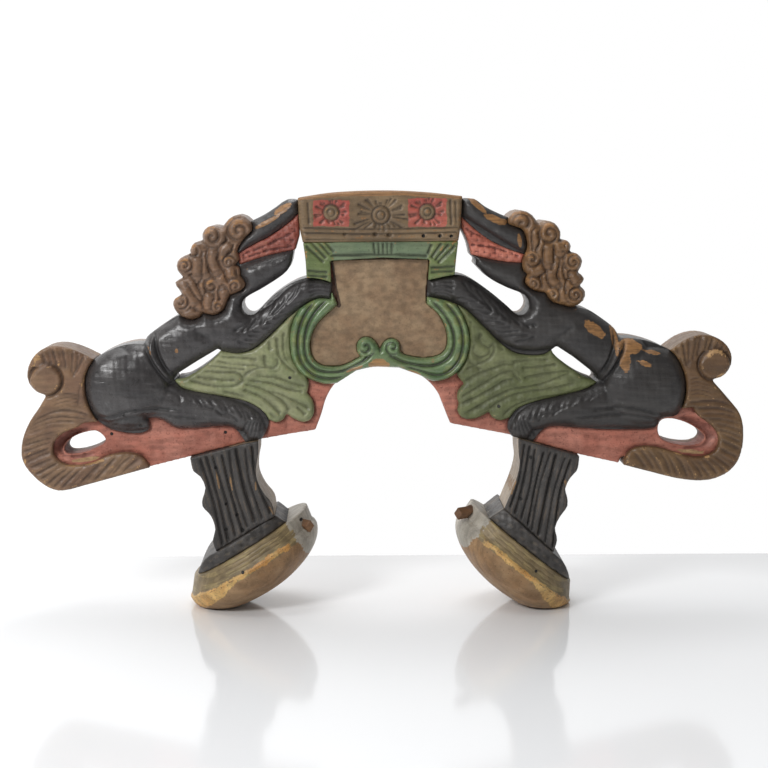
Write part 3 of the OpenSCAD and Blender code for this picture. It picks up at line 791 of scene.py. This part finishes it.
rightFeathers = [
    [(78.7, 226.8), (76.6, 222.6), (79.7, 217.4), (83.9, 215.3), (87, 218.4)],
    [(72.4, 218.4), (71.4, 212), (76.6, 207.9), (82.8, 210), (84.9, 214)],
    [(88, 219.5), (88, 212), (83.9, 205.8), (75.6, 201.6), (65.2, 197.4)], [(69.3, 236.3), (68.3, 229)],
    [(62, 186.8), (72.5, 193.2), (84.9, 198.4), (96.4, 202), (105.7, 202)],
    [(60.5, 175.3), (72.5, 182.6), (85, 190), (94.3, 195.3), (102.6, 196.3), (105.7, 192), (111, 188)],
    [(60, 170), (72.5, 175.3), (86, 182.6), (96.4, 189), (104.7, 190)],
    [(62.6, 161.6), (74.5, 168), (87, 175.3), (100.5, 181.6), (113, 183.7), (127.5, 186.8), (143, 193.2),
     (154.6, 197.4)],
    [(82.8, 165.8), (92.2, 172), (102.6, 177.4), (116, 180.5), (131.7, 182.6), (152.5, 186.8)],
    [(94.3, 159.5), (101.6, 166.8), (113, 172), (126.5, 175.3), (142, 177.4), (159.8, 183.7)],
    [(111, 191), (126.5, 194.2), (142, 196.3), (152.5, 196.3)], [(109.9, 199.5), (126.5, 200.5), (138, 202.6)],
    [(102.6, 203.7), (117.2, 205.8), (131.7, 206.3)], [(96, 228), (93, 220), (96, 213)],
    [(66, 210), (70, 203), (78, 198)], [(60, 240), (64, 232)]]


def wingWork(form, feathers, side):
    for points in feathers:
        chip(form, points, 4.4, 2.0, side, 0.06)
        groove(form, points, 1.0, 2.0, 0.08)
        barb = [(x + 0.6 * n, z - 2.6 * side) for n, (x, z) in enumerate(points)]
        groove(form, barb, 0.9, 0.7, 0.3)
    form["rise"] += 0.35 * ripple(form, 2.4, 1.0)


def buildWings():
    greens = dict(paint=(124, 130, 92), faded=(142, 144, 108), wood=(160, 142, 100), dirt=(62, 64, 40), wear=0.36,
                  hollowDarkening=0.6, speckle=0.4, gloss=0.28, stretch=(0.3, 1, 0.6), bump=0.6, layers=[woodBehind])
    left = paintedWood("wingGreenLeft", **greens, holes=[(-75, 191.5)])
    # the right-hand wing's green is darker: partly its own tone, partly painted shade for the weaker light on that
    # side
    deeperAndShaded = dict(greens, paint=(94, 100, 64), faded=(112, 116, 80), gloss=0.42)
    right = paintedWood("wingGreenRight", **deeperAndShaded, holes=[(92, 168)])
    carvePiece("wing_left", "wing_green", left, wingStyle, 0.8, wingWork, leftFeathers, 1)
    carvePiece("wing_right", "wing_green", right, wingStyle, 0.8, wingWork, rightFeathers, -1)


# tails
tailStyle = {"roundness": 3.2, "edge": 4.4, "low": 7.4, "waver": 0.3, "disc": 12.2, "discSlope": 0.8}
leftHair = [
    [(-241, 163), (-258, 166), (-276, 157)], [(-247, 153), (-265, 153), (-284, 147)],
    [(-264, 141), (-276, 137), (-288, 133)], [(-263, 129), (-275, 124), (-286, 119)],
    [(-252, 121), (-262, 114), (-272, 105)], [(-232, 123), (-243, 114), (-252, 103)],
    [(-214, 130), (-222, 121), (-232, 108.5)], [(-196, 129), (-204, 123), (-213, 113)]]
rightHair = [
    [(251, 171), (268, 172), (281, 166)], [(258, 157), (272, 157), (287, 153)],
    [(269, 146), (279, 142), (290, 137)], [(268, 131), (278, 125), (287, 121)],
    [(256, 126), (264, 118), (270, 110)], [(238, 129), (246, 119), (250, 108)],
    [(218, 134), (226, 124), (232, 110)], [(201, 132), (208, 125), (214, 114)]]
leftRibs = [[(-270, 212), (-267, 203)], [(-262, 216), (-259, 203)], [(-254, 217), (-252, 201)],
            [(-246, 214), (-247, 198)], [(-238, 209), (-243, 196)]]
rightRibs = [[(272, 219), (268, 213)], [(263, 224), (259, 212)], [(253, 225), (250, 209)],
             [(243, 222), (243, 204)], [(233, 215), (238, 199)]]


tailWorn = {
    "left": [(-281, 109, 4, 1.2, -25, 0.8), (-286.5, 125, 0.8, 2, 0, 0.8), (-274, 205, 5, 4, 30, 0.3),
             (-238, 123.2, 14, 1.2, 8, 0.9)],
    "right": [(264, 210, 8, 4, 0, 0.35), (248, 128.5, 12, 1.2, -6, 0.9), (270, 192, 5, 2, 20, 0.3)]}


def disc(form, x, z):  # the flat end of a rolled tail, standing proud of the stem
    radius = tailStyle["disc"]
    off = np.hypot(form["x"] - x, form["z"] - z)
    inside = off < radius
    up, out = form["z"][inside] - z, form["x"][inside] - x
    facet = np.clip(up - out - radius * 0.9, 0, None)  # a planed facet at the upper left
    form["rise"][inside] = 1.4 + tailStyle["discSlope"] * up / radius - 0.35 * facet
    form["cut"][inside] = 0
    sink(form, 3.4 * band(off, radius + 0.8, 2.0) * (form["z"] < z + radius * 0.9))


def longer(points):  # the same stroke, run out past both ends
    a, b, c = (np.array(place) for place in points)
    return [2.2 * a - 1.2 * b, b, 1.9 * c - 0.9 * b]


def tailWork(form, side, hair, ribs, roll, spots):
    chips(form, [longer(points) for points in hair], 3, 5.4, 1.8, -side, 0.0, 0.8)
    chips(form, ribs, 2, 4.6, 2.2, side, 0.0, 0.5)
    for k in range(5):
        z = roll[1] - 12 - 3.1 * k
        groove(form, [(side * 263, z - 2), (side * 252, z + 1), (side * 240, z - 1)], 1.3, 0.8)
    disc(form, *roll)
    groove(form, [(side * 241, roll[1] - 3), (side * 244, roll[1] - 22)], 1.4, 0.9)
    stain(form, "bare", spots)


def buildTails():
    brown = dict(paint=(112, 84, 64), faded=(130, 102, 76), wood=(186, 146, 98), dirt=(58, 40, 28), wear=0.4,
                 hollowDarkening=0.7, speckle=0.5, gloss=0.34, stretch=(0.12, 1, 0.7), bump=0.65, layers=[woodBehind])
    left = paintedWood("tailBrownLeft", **brown)
    # the right-hand tail's brown is darker: partly its own tone, partly painted shade for the weaker light on that
    # side
    right = paintedWood("tailBrownRight", **dict(brown, paint=(98, 72, 48), faded=(114, 88, 60)))
    carvePiece("tail_left", "tail_brown", left, tailStyle, 1.0, tailWork, -1, leftHair, leftRibs, (-268.5, 190.5),
               tailWorn["left"])
    carvePiece("tail_right", "tail_brown", right, tailStyle, 1.0, tailWork, 1, rightHair, rightRibs, (264.5, 201.5),
               tailWorn["right"])


# shield
strapStyle = {"roundness": 3.5, "edge": 3.0, "low": 8.2, "waver": 0.25}
strapLines = [
    [(-50, 259), (-58, 249), (-65, 237), (-68.5, 222), (-66.5, 206), (-58, 195), (-46, 191), (-34, 192),
     (-22, 198)],
    [(-43, 256), (-54, 244.5), (-60.5, 233), (-63, 220), (-61, 206), (-53, 198), (-43, 196), (-33, 197),
     (-22, 202), (-14, 207), (-9, 213)],
    [(42, 258), (51, 249), (59.5, 237), (63, 222), (60.5, 207), (52, 196.5), (42, 193.5), (30, 196.5), (16, 201)],
    [(38, 253), (47, 243), (53.5, 232), (56, 220), (53, 209.5), (46, 203.5), (36, 200.8), (24, 202),
     (12, 205.5), (4, 210)]]


def strapWork(form):
    for points in strapLines:
        groove(form, points, 2.6, 3.2, 0.05)
    curl(form, -14.5, 216.5, 8, 1.3, 1, 0.55, 3.4, 1.6)
    curl(form, 7, 216, 7, 1.3, -1, 0.55, 3.4, 1.6)
    stain(form, "bare", [(-4, 202.5, 7, 4.5, 0, 1.0), (-24, 198.5, 6, 1.2, 18, 0.8), (24, 195.5, 5, 1.0, -20, 0.5)])
    form["second"] = unit(1 - nearest(strapLines[0][:6] + strapLines[2][:6], form["x"], form["z"]) / 9)


headStyle = {"roundness": 1.8, "edge": 6.6, "low": 7.8, "waver": 0.2}
headCuts = [
    [(-8.5, 299), (-7.5, 289)], [(-5, 299), (-4.2, 289)], [(-1, 299), (-1, 289)], [(2.2, 299), (2.4, 289)],
    [(5.5, 299), (5.5, 289)], [(-62, 296), (-48, 283)], [(-58, 299), (-46, 286)], [(-52, 299), (-43, 289)],
    [(-47, 299), (-40, 291)], [(56, 297), (42, 283)], [(51, 298), (40, 285)], [(45, 299), (37, 287)],
    [(37, 298), (34, 290)], [(-62, 276.5), (-45, 275)], [(-62, 273), (-45, 271.5)], [(37, 278.5), (56, 279.5)],
    [(37, 275), (56, 276)], [(-43, 288), (0, 289), (35, 287.8)]]


def headWork(form):
    for points in headCuts:
        chip(form, points, 3.0, 1.9, 1, 0.03, 0.8)
    outside = np.abs(form["x"] + 3) - 37 - (form["z"] - 293) * 0.25
    form["second"] = unit(outside / 3)


panelStyle = {"roundness": 1.0, "edge": 1.9, "low": 2.0, "waver": 0.12}


panelShadowLine = [(35, 287.5), (0, 287.3), (-42.5, 286.5), (-39, 262), (-36, 249)]  # the panel's top and left edges, where a dark brown painted shadow of the head bar and frame lies


def alongPanelShadow():
    corner = np.array(panelShadowLine)
    return [a + (b - a) * k / 40 for a, b in zip(corner, corner[1:]) for k in range(40)]


def panelWork(form):
    # the second mark lays a dark brown painted shadow along the panel's top and left edges
    form["second"] = unit(1.6 - nearest(alongPanelShadow(), form["x"], form["z"]) / 1.9)
    form["rise"] += 0.16 * unevenness(form["x"] * 0.5, form["z"], 3.4, 3.0)


crownStyle = {"roundness": 4.5, "edge": 6.5, "low": 10.2, "waver": 0.2}
rosettes = [  # place, radius, half width and half height of its square, rays
    (-41.5, 322.5, 5.8, 14.5, 10.5, 18), (-2.5, 320.5, 6.6, 23, 13.5, 26), (34, 323, 5.8, 15.5, 11.5, 18)]


crownLines = [(309.6, 1.3, 1.6), (305.8, 1.2, 1.8), (300.6, 1.2, 2.5)]  # height, half width, depth
crownEnds = [([(52, 333), (53, 312)], 1.4, 1.6), ([(56, 332), (57, 313)], 1.4, 1.2),
             ([(-60, 331), (-59, 313)], 1.3, 1.2)]
crownPits = [(-7, 305.5, 2.2), (4, 305, 2.4), (-31, 305.5, 1.6), (31, 304.5, 1.3), (44, 304.5, 1.3), (53, 304, 1.3)]


def rosette(form, x, z, radius, halfX, halfZ, count):  # a ringed boss with rays chipped out to a square
    for k in range(count):
        turn = 2 * math.pi * (k + 0.35 * math.sin(k * 2.3)) / count
        c, s = math.cos(turn), math.sin(turn)
        reach = min(halfX / max(abs(c), 1e-3), halfZ / max(abs(s), 1e-3)) * 0.95
        reach *= 0.9 + 0.14 * math.sin(5.1 * k)
        ray = [(x + c * far, z + s * far) for far in (radius + 1, reach)]
        chip(form, ray, 2.8, 1.5, 1)
    off = np.hypot(form["x"] - x, form["z"] - z)
    form["cut"][off < radius] = 0
    sink(form, 2.2 * band(off, radius + 0.6, 1.4))
    sink(form, 0.8 * band(off, radius * 0.5, 1.3))
    form["rise"] += 0.9 * unit(1 - off / (radius * 0.45)) ** 0.5
    if count < 20:  # the two outer ones stand on red
        square = np.maximum(np.abs(form["x"] - x) / halfX, np.abs(form["z"] - z + 0.5) / halfZ)
        square += 0.05 * ripple(form, 2.4, x)
        sink(form, unit((1.1 - square) * 4) * unit((off - radius) * 2), mark="second")


def crownWork(form):
    for place in rosettes:
        rosette(form, *place)
    x = form["x"]
    z = form["z"] - 0.006 * x - 0.0003 * x ** 2  # the lines bend with the rail
    for height, half, depth in crownLines:
        sink(form, depth * band(z, height, half))
    for points, width, depth in crownEnds:
        groove(form, points, width, depth, 0.04)
    for pitX, pitZ, size in crownPits:
        sink(form, 3.0 * unit(1.3 - np.hypot(x - pitX, (form["z"] - pitZ) * 1.3) / size))
    top = 335.2 - 0.0007 * x ** 2 + 0.5 * unevenness(x, 0 * x, 9.0)
    sink(form, 0.95 * unit((form["z"] - top) / 1.4), mark="bare")


def buildShield():
    strap = paintedWood("shieldGreen", paint=(92, 116, 78), faded=(112, 130, 88), wood=(170, 128, 78),
                        dirt=(38, 42, 24), wear=0.35, hollowDarkening=0.9, speckle=0.25, gloss=0.2, bump=0.35,
                        layers=[("second", (98, 114, 66), (122, 132, 82), 0.35), woodBehind], coat=0.5)
    head = paintedWood("headGreen", paint=(99, 115, 88), faded=(114, 127, 98), wood=(170, 128, 78),
                       dirt=(40, 44, 28), wear=0.4, hollowDarkening=0.8, speckle=0.7, grime=0.5, gloss=0.32, bump=0.5,
                       layers=[("second", (96, 110, 66), (118, 128, 82), 0.45), woodBehind])
    panel = paintedWood("panelBrown", paint=(132, 106, 80), faded=(150, 126, 98), wood=(150, 118, 84),
                        dirt=(70, 52, 38), wear=0.3, hollowDarkening=0.5, speckle=0.3, gloss=0.32,
                        stretch=(0.6, 1, 0.8), bump=0.5, grime=0.3,
                        # the second layer is a painted shadow along the panel's top and left edges
                        layers=[("second", (58, 42, 30), (74, 54, 38), 0.1)])
    crown = paintedWood("crownPaint", paint=(112, 92, 68), faded=(130, 108, 80), wood=(158, 116, 74),
                        dirt=(52, 40, 28), wear=0.45, hollowDarkening=0.8, speckle=0.6, grime=0.5, gloss=0.34, bump=0.5,
                        layers=[("second", (158, 74, 64), (178, 98, 82), 0.4), woodBehind],
                        holes=[(31, 304), (44, 304), (53, 304)])
    carvePiece("shield_panel", "shield_brown", panel, panelStyle, 1.0, panelWork)
    carvePiece("shield_strap", "shield_green", strap, strapStyle, 0.8, strapWork)
    carvePiece("shield_head", "shield_green", head, headStyle, 0.8, headWork)
    carvePiece("crown_rail", "crown_paint", crown, crownStyle, 0.8, crownWork)


# plank
boardStyle = {"roundness": 2.2, "edge": -1.0, "low": 0.0, "waver": 0.3, "hinge": 12.0}
reinHoles = [(-1, -240, 139), (1, 240, 145)]
boardWorn = [(-4, 202, 9, 5, 0, 1.0), (-238, 125.5, 12, 1.5, 8, 1.0), (248, 130, 12, 1.4, -6, 0.9),
             (-262, 132, 0.8, 4, 0, 0.5), (-60, 158, 1.5, 3, 0, 0.4)]


def boardWork(form):
    x, z = form["x"], form["z"]
    sink(form, 0.9 * unit(1.2 - nearest(reliefEdges, x, z) / 2.0))
    form["rise"] += 0.3 * unevenness(x * 0.6, z, 3.2, 5.0)
    for side, holeX, holeZ in reinHoles:  # their sloping collars
        outer = unit((side * x - 226) / 22)
        off = np.hypot((x - holeX) / 18.5, (z - holeZ) / 9)
        sink(form, 8.5 * unit(1.75 - off) * outer)
    stain(form, "third", [(-41, 258, 4, 13, 0, 1.0)])
    stain(form, "bare", boardWorn)


def buildBoard():
    red = paintedWood("redGround", paint=(168, 102, 84), faded=(182, 120, 102), wood=(190, 156, 112),
                      dirt=(96, 50, 40), wear=0.25, hollowDarkening=0.8, speckle=0.7, grime=0.65, gloss=0.42,
                      stretch=(0.2, 1, 1), bump=0.8,
                      layers=[("third", (72, 52, 38), (88, 64, 46), 0.1), woodBehind],
                      holes=[(-218, 146), (-127, 147)])
    carvePiece("arch_board", "red_ground", red, boardStyle, 1.33, boardWork)


# legs
legStyle = {"roundness": 2.0, "edge": -1.2, "low": 0.0, "waver": 0.3, "hinge": 12.0, "ground": -36.0}
legBlack = dict(paint=(58, 55, 53), faded=(72, 68, 65), wood=(148, 116, 80), dirt=(20, 17, 15), wear=0.24,
                hollowDarkening=0.9, speckle=0.6, grime=0.4, gloss=0.4, stretch=(1, 1, 0.1), bump=0.9)
legShape = {  # outer and inner flute, which way is inward, where the inner side starts, bare spots, holes
    "left": {"flutes": [[(-148, 127), (-138, 95), (-130, 55)], [(-106, 138), (-103, 110), (-92, 82)]],
             "inner": 1, "innerSide": [-110, -128],
             "bare": [(-133, 110, 1.2, 9, 8, 0.5), (-122.5, 106, 1.0, 6, 8, 0.6), (-92, 86, 1.2, 5, 30, 0.6),
                      (-103, 104, 0.9, 5, 0, 0.6)],
             "holes": [(-134.5, 119.5), (-126.5, 90), (-118, 81), (-127, 69), (-113.5, 68.5), (-109.5, 65.5)]},
    "right": {"flutes": [[(112, 138), (108, 110), (101, 86)], [(150, 126), (141, 95), (135, 52)]],
              "inner": -1, "innerSide": [117, 130],
              "bare": [(104, 104, 1.2, 8, -14, 0.6), (146, 106, 1.2, 6, 10, 0.4)],
              "holes": [(118, 127), (110, 93)]}}


def legWork(form, shape):
    x, z = form["x"], form["z"]
    for k, points in enumerate(between(shape["flutes"], 7, 0.8)):
        groove(form, points, 1.8 + 0.4 * math.sin(1.7 * k), 2.5 + 0.6 * math.sin(2.9 * k), 0.05)
        chip(form, [(a + 1.3, b) for a, b in points], 2.6, 0.9, 1)
    top, foot = shape["flutes"][0][0], shape["flutes"][0][-1]
    lean = x - (foot[0] + (z - foot[1]) * (top[0] - foot[0]) / (top[1] - foot[1]))
    form["streak"] = unit(0.2 + unevenness(lean * 2.2, z * 0.12, 1.6, 4.0)
                             + 0.5 * unevenness(lean, z * 0.3, 1.1, 1.0))
    past = shape["inner"] * (x - np.interp(z, [50, 135], shape["innerSide"])) > 4
    form["second"] = past * (form["rim"] < 2.5) * (form["y"] > -35.2)
    stain(form, "bare", shape["bare"])


def buildLegs():
    layers = [("streak", (72, 66, 61), (88, 78, 68), 0.3), ("second", (134, 116, 94), (156, 138, 114), 0.2)]
    for side, shape in legShape.items():
        black = paintedWood("legBlack" + side.capitalize(), **legBlack, layers=layers, holes=shape["holes"])
        carvePiece("leg_" + side, "leg_black", black, legStyle, 0.7, legWork, shape)


# feet
def roundPiece(node, piece, slot, material, rounds, work, *details):
    form = startForm(laplace(piece, readPoints(piece), rounds), [(0, 0)])
    work(form, *details)
    finishPiece(piece, form, form["y"], node, material)


soleShape = {
    "left": {"corner": (-155, 26.5), "along": (92.2, 56.5), "centre": 46.5, "half": 60.2, "stand": 85.5},
    "right": {"corner": (156, 19.5), "along": (-88, 70), "centre": 48.0, "half": 58.5, "stand": 86.5}}
soleProfile = {  # from the middle of the top out to the rim
    "turn": [0, 0.2, 0.225, 0.37, 0.40, 0.43], "reach": [0, 0.88, 0.905, 0.965, 1.0, 1.0],
    "depth": [0, 0, 0.8, 12.0, 14.5, 17.0], "halfWidth": 49.6, "topCentre": 53.5, "keel": 27.0, "plan": 2.1,
    "belly": 2.3, "rest": 3.0}
chalky = 0.64  # how much of the pale and ochre paint is left
ochreLeft = 0.58


def soleAxes(side):
    run, climb = soleShape[side]["along"]
    reach = math.hypot(run, climb)
    return run / reach, climb / reach, math.copysign(1, run)


def soleFrame(side, form):  # how far along the footpad and how deep below its top
    cornerX, cornerZ = soleShape[side]["corner"]
    ux, uz, hand = soleAxes(side)
    dx, dz = form["x"] - cornerX, form["z"] - cornerZ
    return dx * ux + dz * uz, dx * uz * hand - dz * abs(ux)


def soleBlock(side, name):  # a boat-shaped foot: flat top, flared side, a rim and a rounded belly
    shape, profile = soleShape[side], soleProfile
    bpy.ops.mesh.primitive_uv_sphere_add(segments=320, ring_count=180, radius=1)
    piece = bpy.context.active_object
    piece.name = name
    points = readPoints(piece) * mm
    turn = np.arccos(np.clip(points[:, 2], -1, 1)) / math.pi
    face = np.arctan2(points[:, 1], points[:, 0])
    last = profile["turn"][-1]
    belly = unit((turn - last) / (1 - last)) * math.pi / 2
    power = 2 / profile["belly"]
    reach = np.where(turn < last, np.interp(turn, profile["turn"], profile["reach"]),
                     unit(np.cos(belly)) ** power)
    depth = np.where(turn < last, np.interp(turn, profile["turn"], profile["depth"]),
                     profile["depth"][-1] + profile["keel"] * np.sin(belly) ** power)
    square = profile["plan"]
    plan = (np.abs(np.cos(face)) ** square + np.abs(np.sin(face)) ** square) ** (-1 / square)
    centre = np.interp(depth, [0, 14], [profile["topCentre"], shape["centre"]])
    along = centre + shape["half"] * reach * plan * np.cos(face)
    along -= 6 * unit((depth - 18) / 20) * unit(np.cos(face))
    ux, uz, hand = soleAxes(side)
    x = shape["corner"][0] + along * ux + depth * uz * hand
    y = profile["halfWidth"] * reach * plan * np.sin(face) * hand
    z = shape["corner"][1] + along * uz - depth * abs(ux)
    rest = profile["rest"]
    low = z < rest  # the worn outer end eases onto the table
    z[low] = rest * np.exp((z[low] - rest) / rest)
    floor = z.min()
    z[low] = (z[low] - floor) * rest / (rest - floor)
    writePoints(piece, np.stack([x, y, z], 1))
    return piece


def soleWork(form, side):
    along, depth = soleFrame(side, form)
    wave = unevenness(along, form["y"], 7.0, 2.0)
    fine = unevenness(along, depth, 2.2, 1.0)
    out = unit((np.abs(form["y"]) - 30) / 12) * (depth > 1) * np.sign(form["y"])
    form["y"] += out * (0.7 * band(depth, 14.5, 5) + 0.3 * wave)
    for level in (3.5, 6.5, 9.5):  # long tool marks round the side
        form["y"] -= out * 0.35 * band(depth - 0.8 * wave, level, 0.9)
    form["streak"] = unit(0.25 + unevenness(along * 0.14, depth * 1.3 + 0.3 * form["y"], 1.5, 3.0))
    low = unit((depth - 11.5 - 1.2 * wave - 0.8 * fine) / 1.5)
    wide = np.clip((34 - along) / 11, 0, 3)  # the ochre runs down to the ground at the outer end
    form["second"] = low * unit((19.5 + 2 * wave - depth) / 3.0 + wide)
    form["second"] *= ochreLeft * unit((92 - along) / 10)
    form["under"] = unit((depth - 16.5) / 2)
    form["third"] = unit((along - 86 - 2.5 * fine) / 5) * unit((38 - depth) / 6) * chalky


def plinthWork(form, side):
    ux, uz, hand = soleAxes(side)
    along, depth = soleFrame(side, form)
    inward = 3.5 * unit(1 - along / 40)
    past = np.clip((along - soleShape[side]["stand"]) / 4, 0, 1.04)
    ease = past * np.clip(-depth, 0, None)  # sinks away past the leg's foot
    form["x"] += inward * ux + ease * uz * hand
    form["z"] += inward * uz - ease * abs(ux)
    form["y"] += 0.8 * ripple(form, 4.0) * np.sign(form["y"])
    form["streak"] = unit(0.15 + unevenness(along * 0.3, 0.4 * form["y"] - depth * 1.5, 1.6, 2.0))
    form["third"] = chalky * unit((along - 87) / 4)


def pegWork(form):  # whittled a little slimmer than its hole
    middle = (form["x"].min() + form["x"].max()) / 2
    form["x"] = middle + 0.8 * (form["x"] - middle)
    centre, short = form["y"].mean(), 0.66 if middle < 0 else 0.46
    form["y"] = np.where(form["y"] < centre, centre + short * (form["y"] - centre), form["y"])


def buildFeet():
    chalk = ("third", (150, 144, 132), (178, 172, 160), 0.3)
    ochre = ("second", (178, 128, 68), (212, 176, 112), 0.6, 1.0)
    pale = ("streak", (140, 122, 84), (154, 138, 98), 0.3)
    under = ("under", (136, 104, 70), (156, 126, 92), 0.2, 0.5)
    wood = dict(paint=(118, 102, 72), faded=(138, 120, 88), wood=(160, 118, 76), dirt=(64, 46, 30), wear=0.5,
                hollowDarkening=0.9, speckle=0.5, gloss=0.42, stretch=(0.2, 1, 0.3), bump=0.6,
                layers=[pale, under, ochre, chalk])
    scraped = ("streak", (74, 68, 62), (92, 84, 74), 0.3)
    black = paintedWood("plinthBlack", **dict(legBlack, stretch=(0.3, 1, 0.4)), layers=[scraped, chalk])
    brown = paintedWood("pegBrown", paint=(104, 74, 50), faded=(126, 92, 62), dirt=(60, 40, 26), wear=0.3, gloss=0.5)
    for side, holes in (("left", [(-67, 74.5), (-113, 37)]), ("right", [(122, 36)])):
        end = side.capitalize()
        sole = paintedWood("sole" + end + "Paint", **wood, holes=holes)
        roundPiece("sole_" + side, soleBlock(side, "sole" + end), "sole_wood", sole, 1, soleWork, side)
        plinth = block("plinth_" + side, "plinth" + end, 1.0)[0]
        roundPiece("plinth_" + side, plinth, "plinth_black", black, 3, plinthWork, side)
        peg = block("sole_peg_" + side, "peg" + end, 0.6)[0]
        roundPiece("sole_peg_" + side, peg, "peg_wood", brown, 2, pegWork)


addStudio()
for build in (buildLions, buildMouths, buildManes, buildWings, buildTails, buildShield, buildBoard, buildLegs,
              buildFeet):
    build()
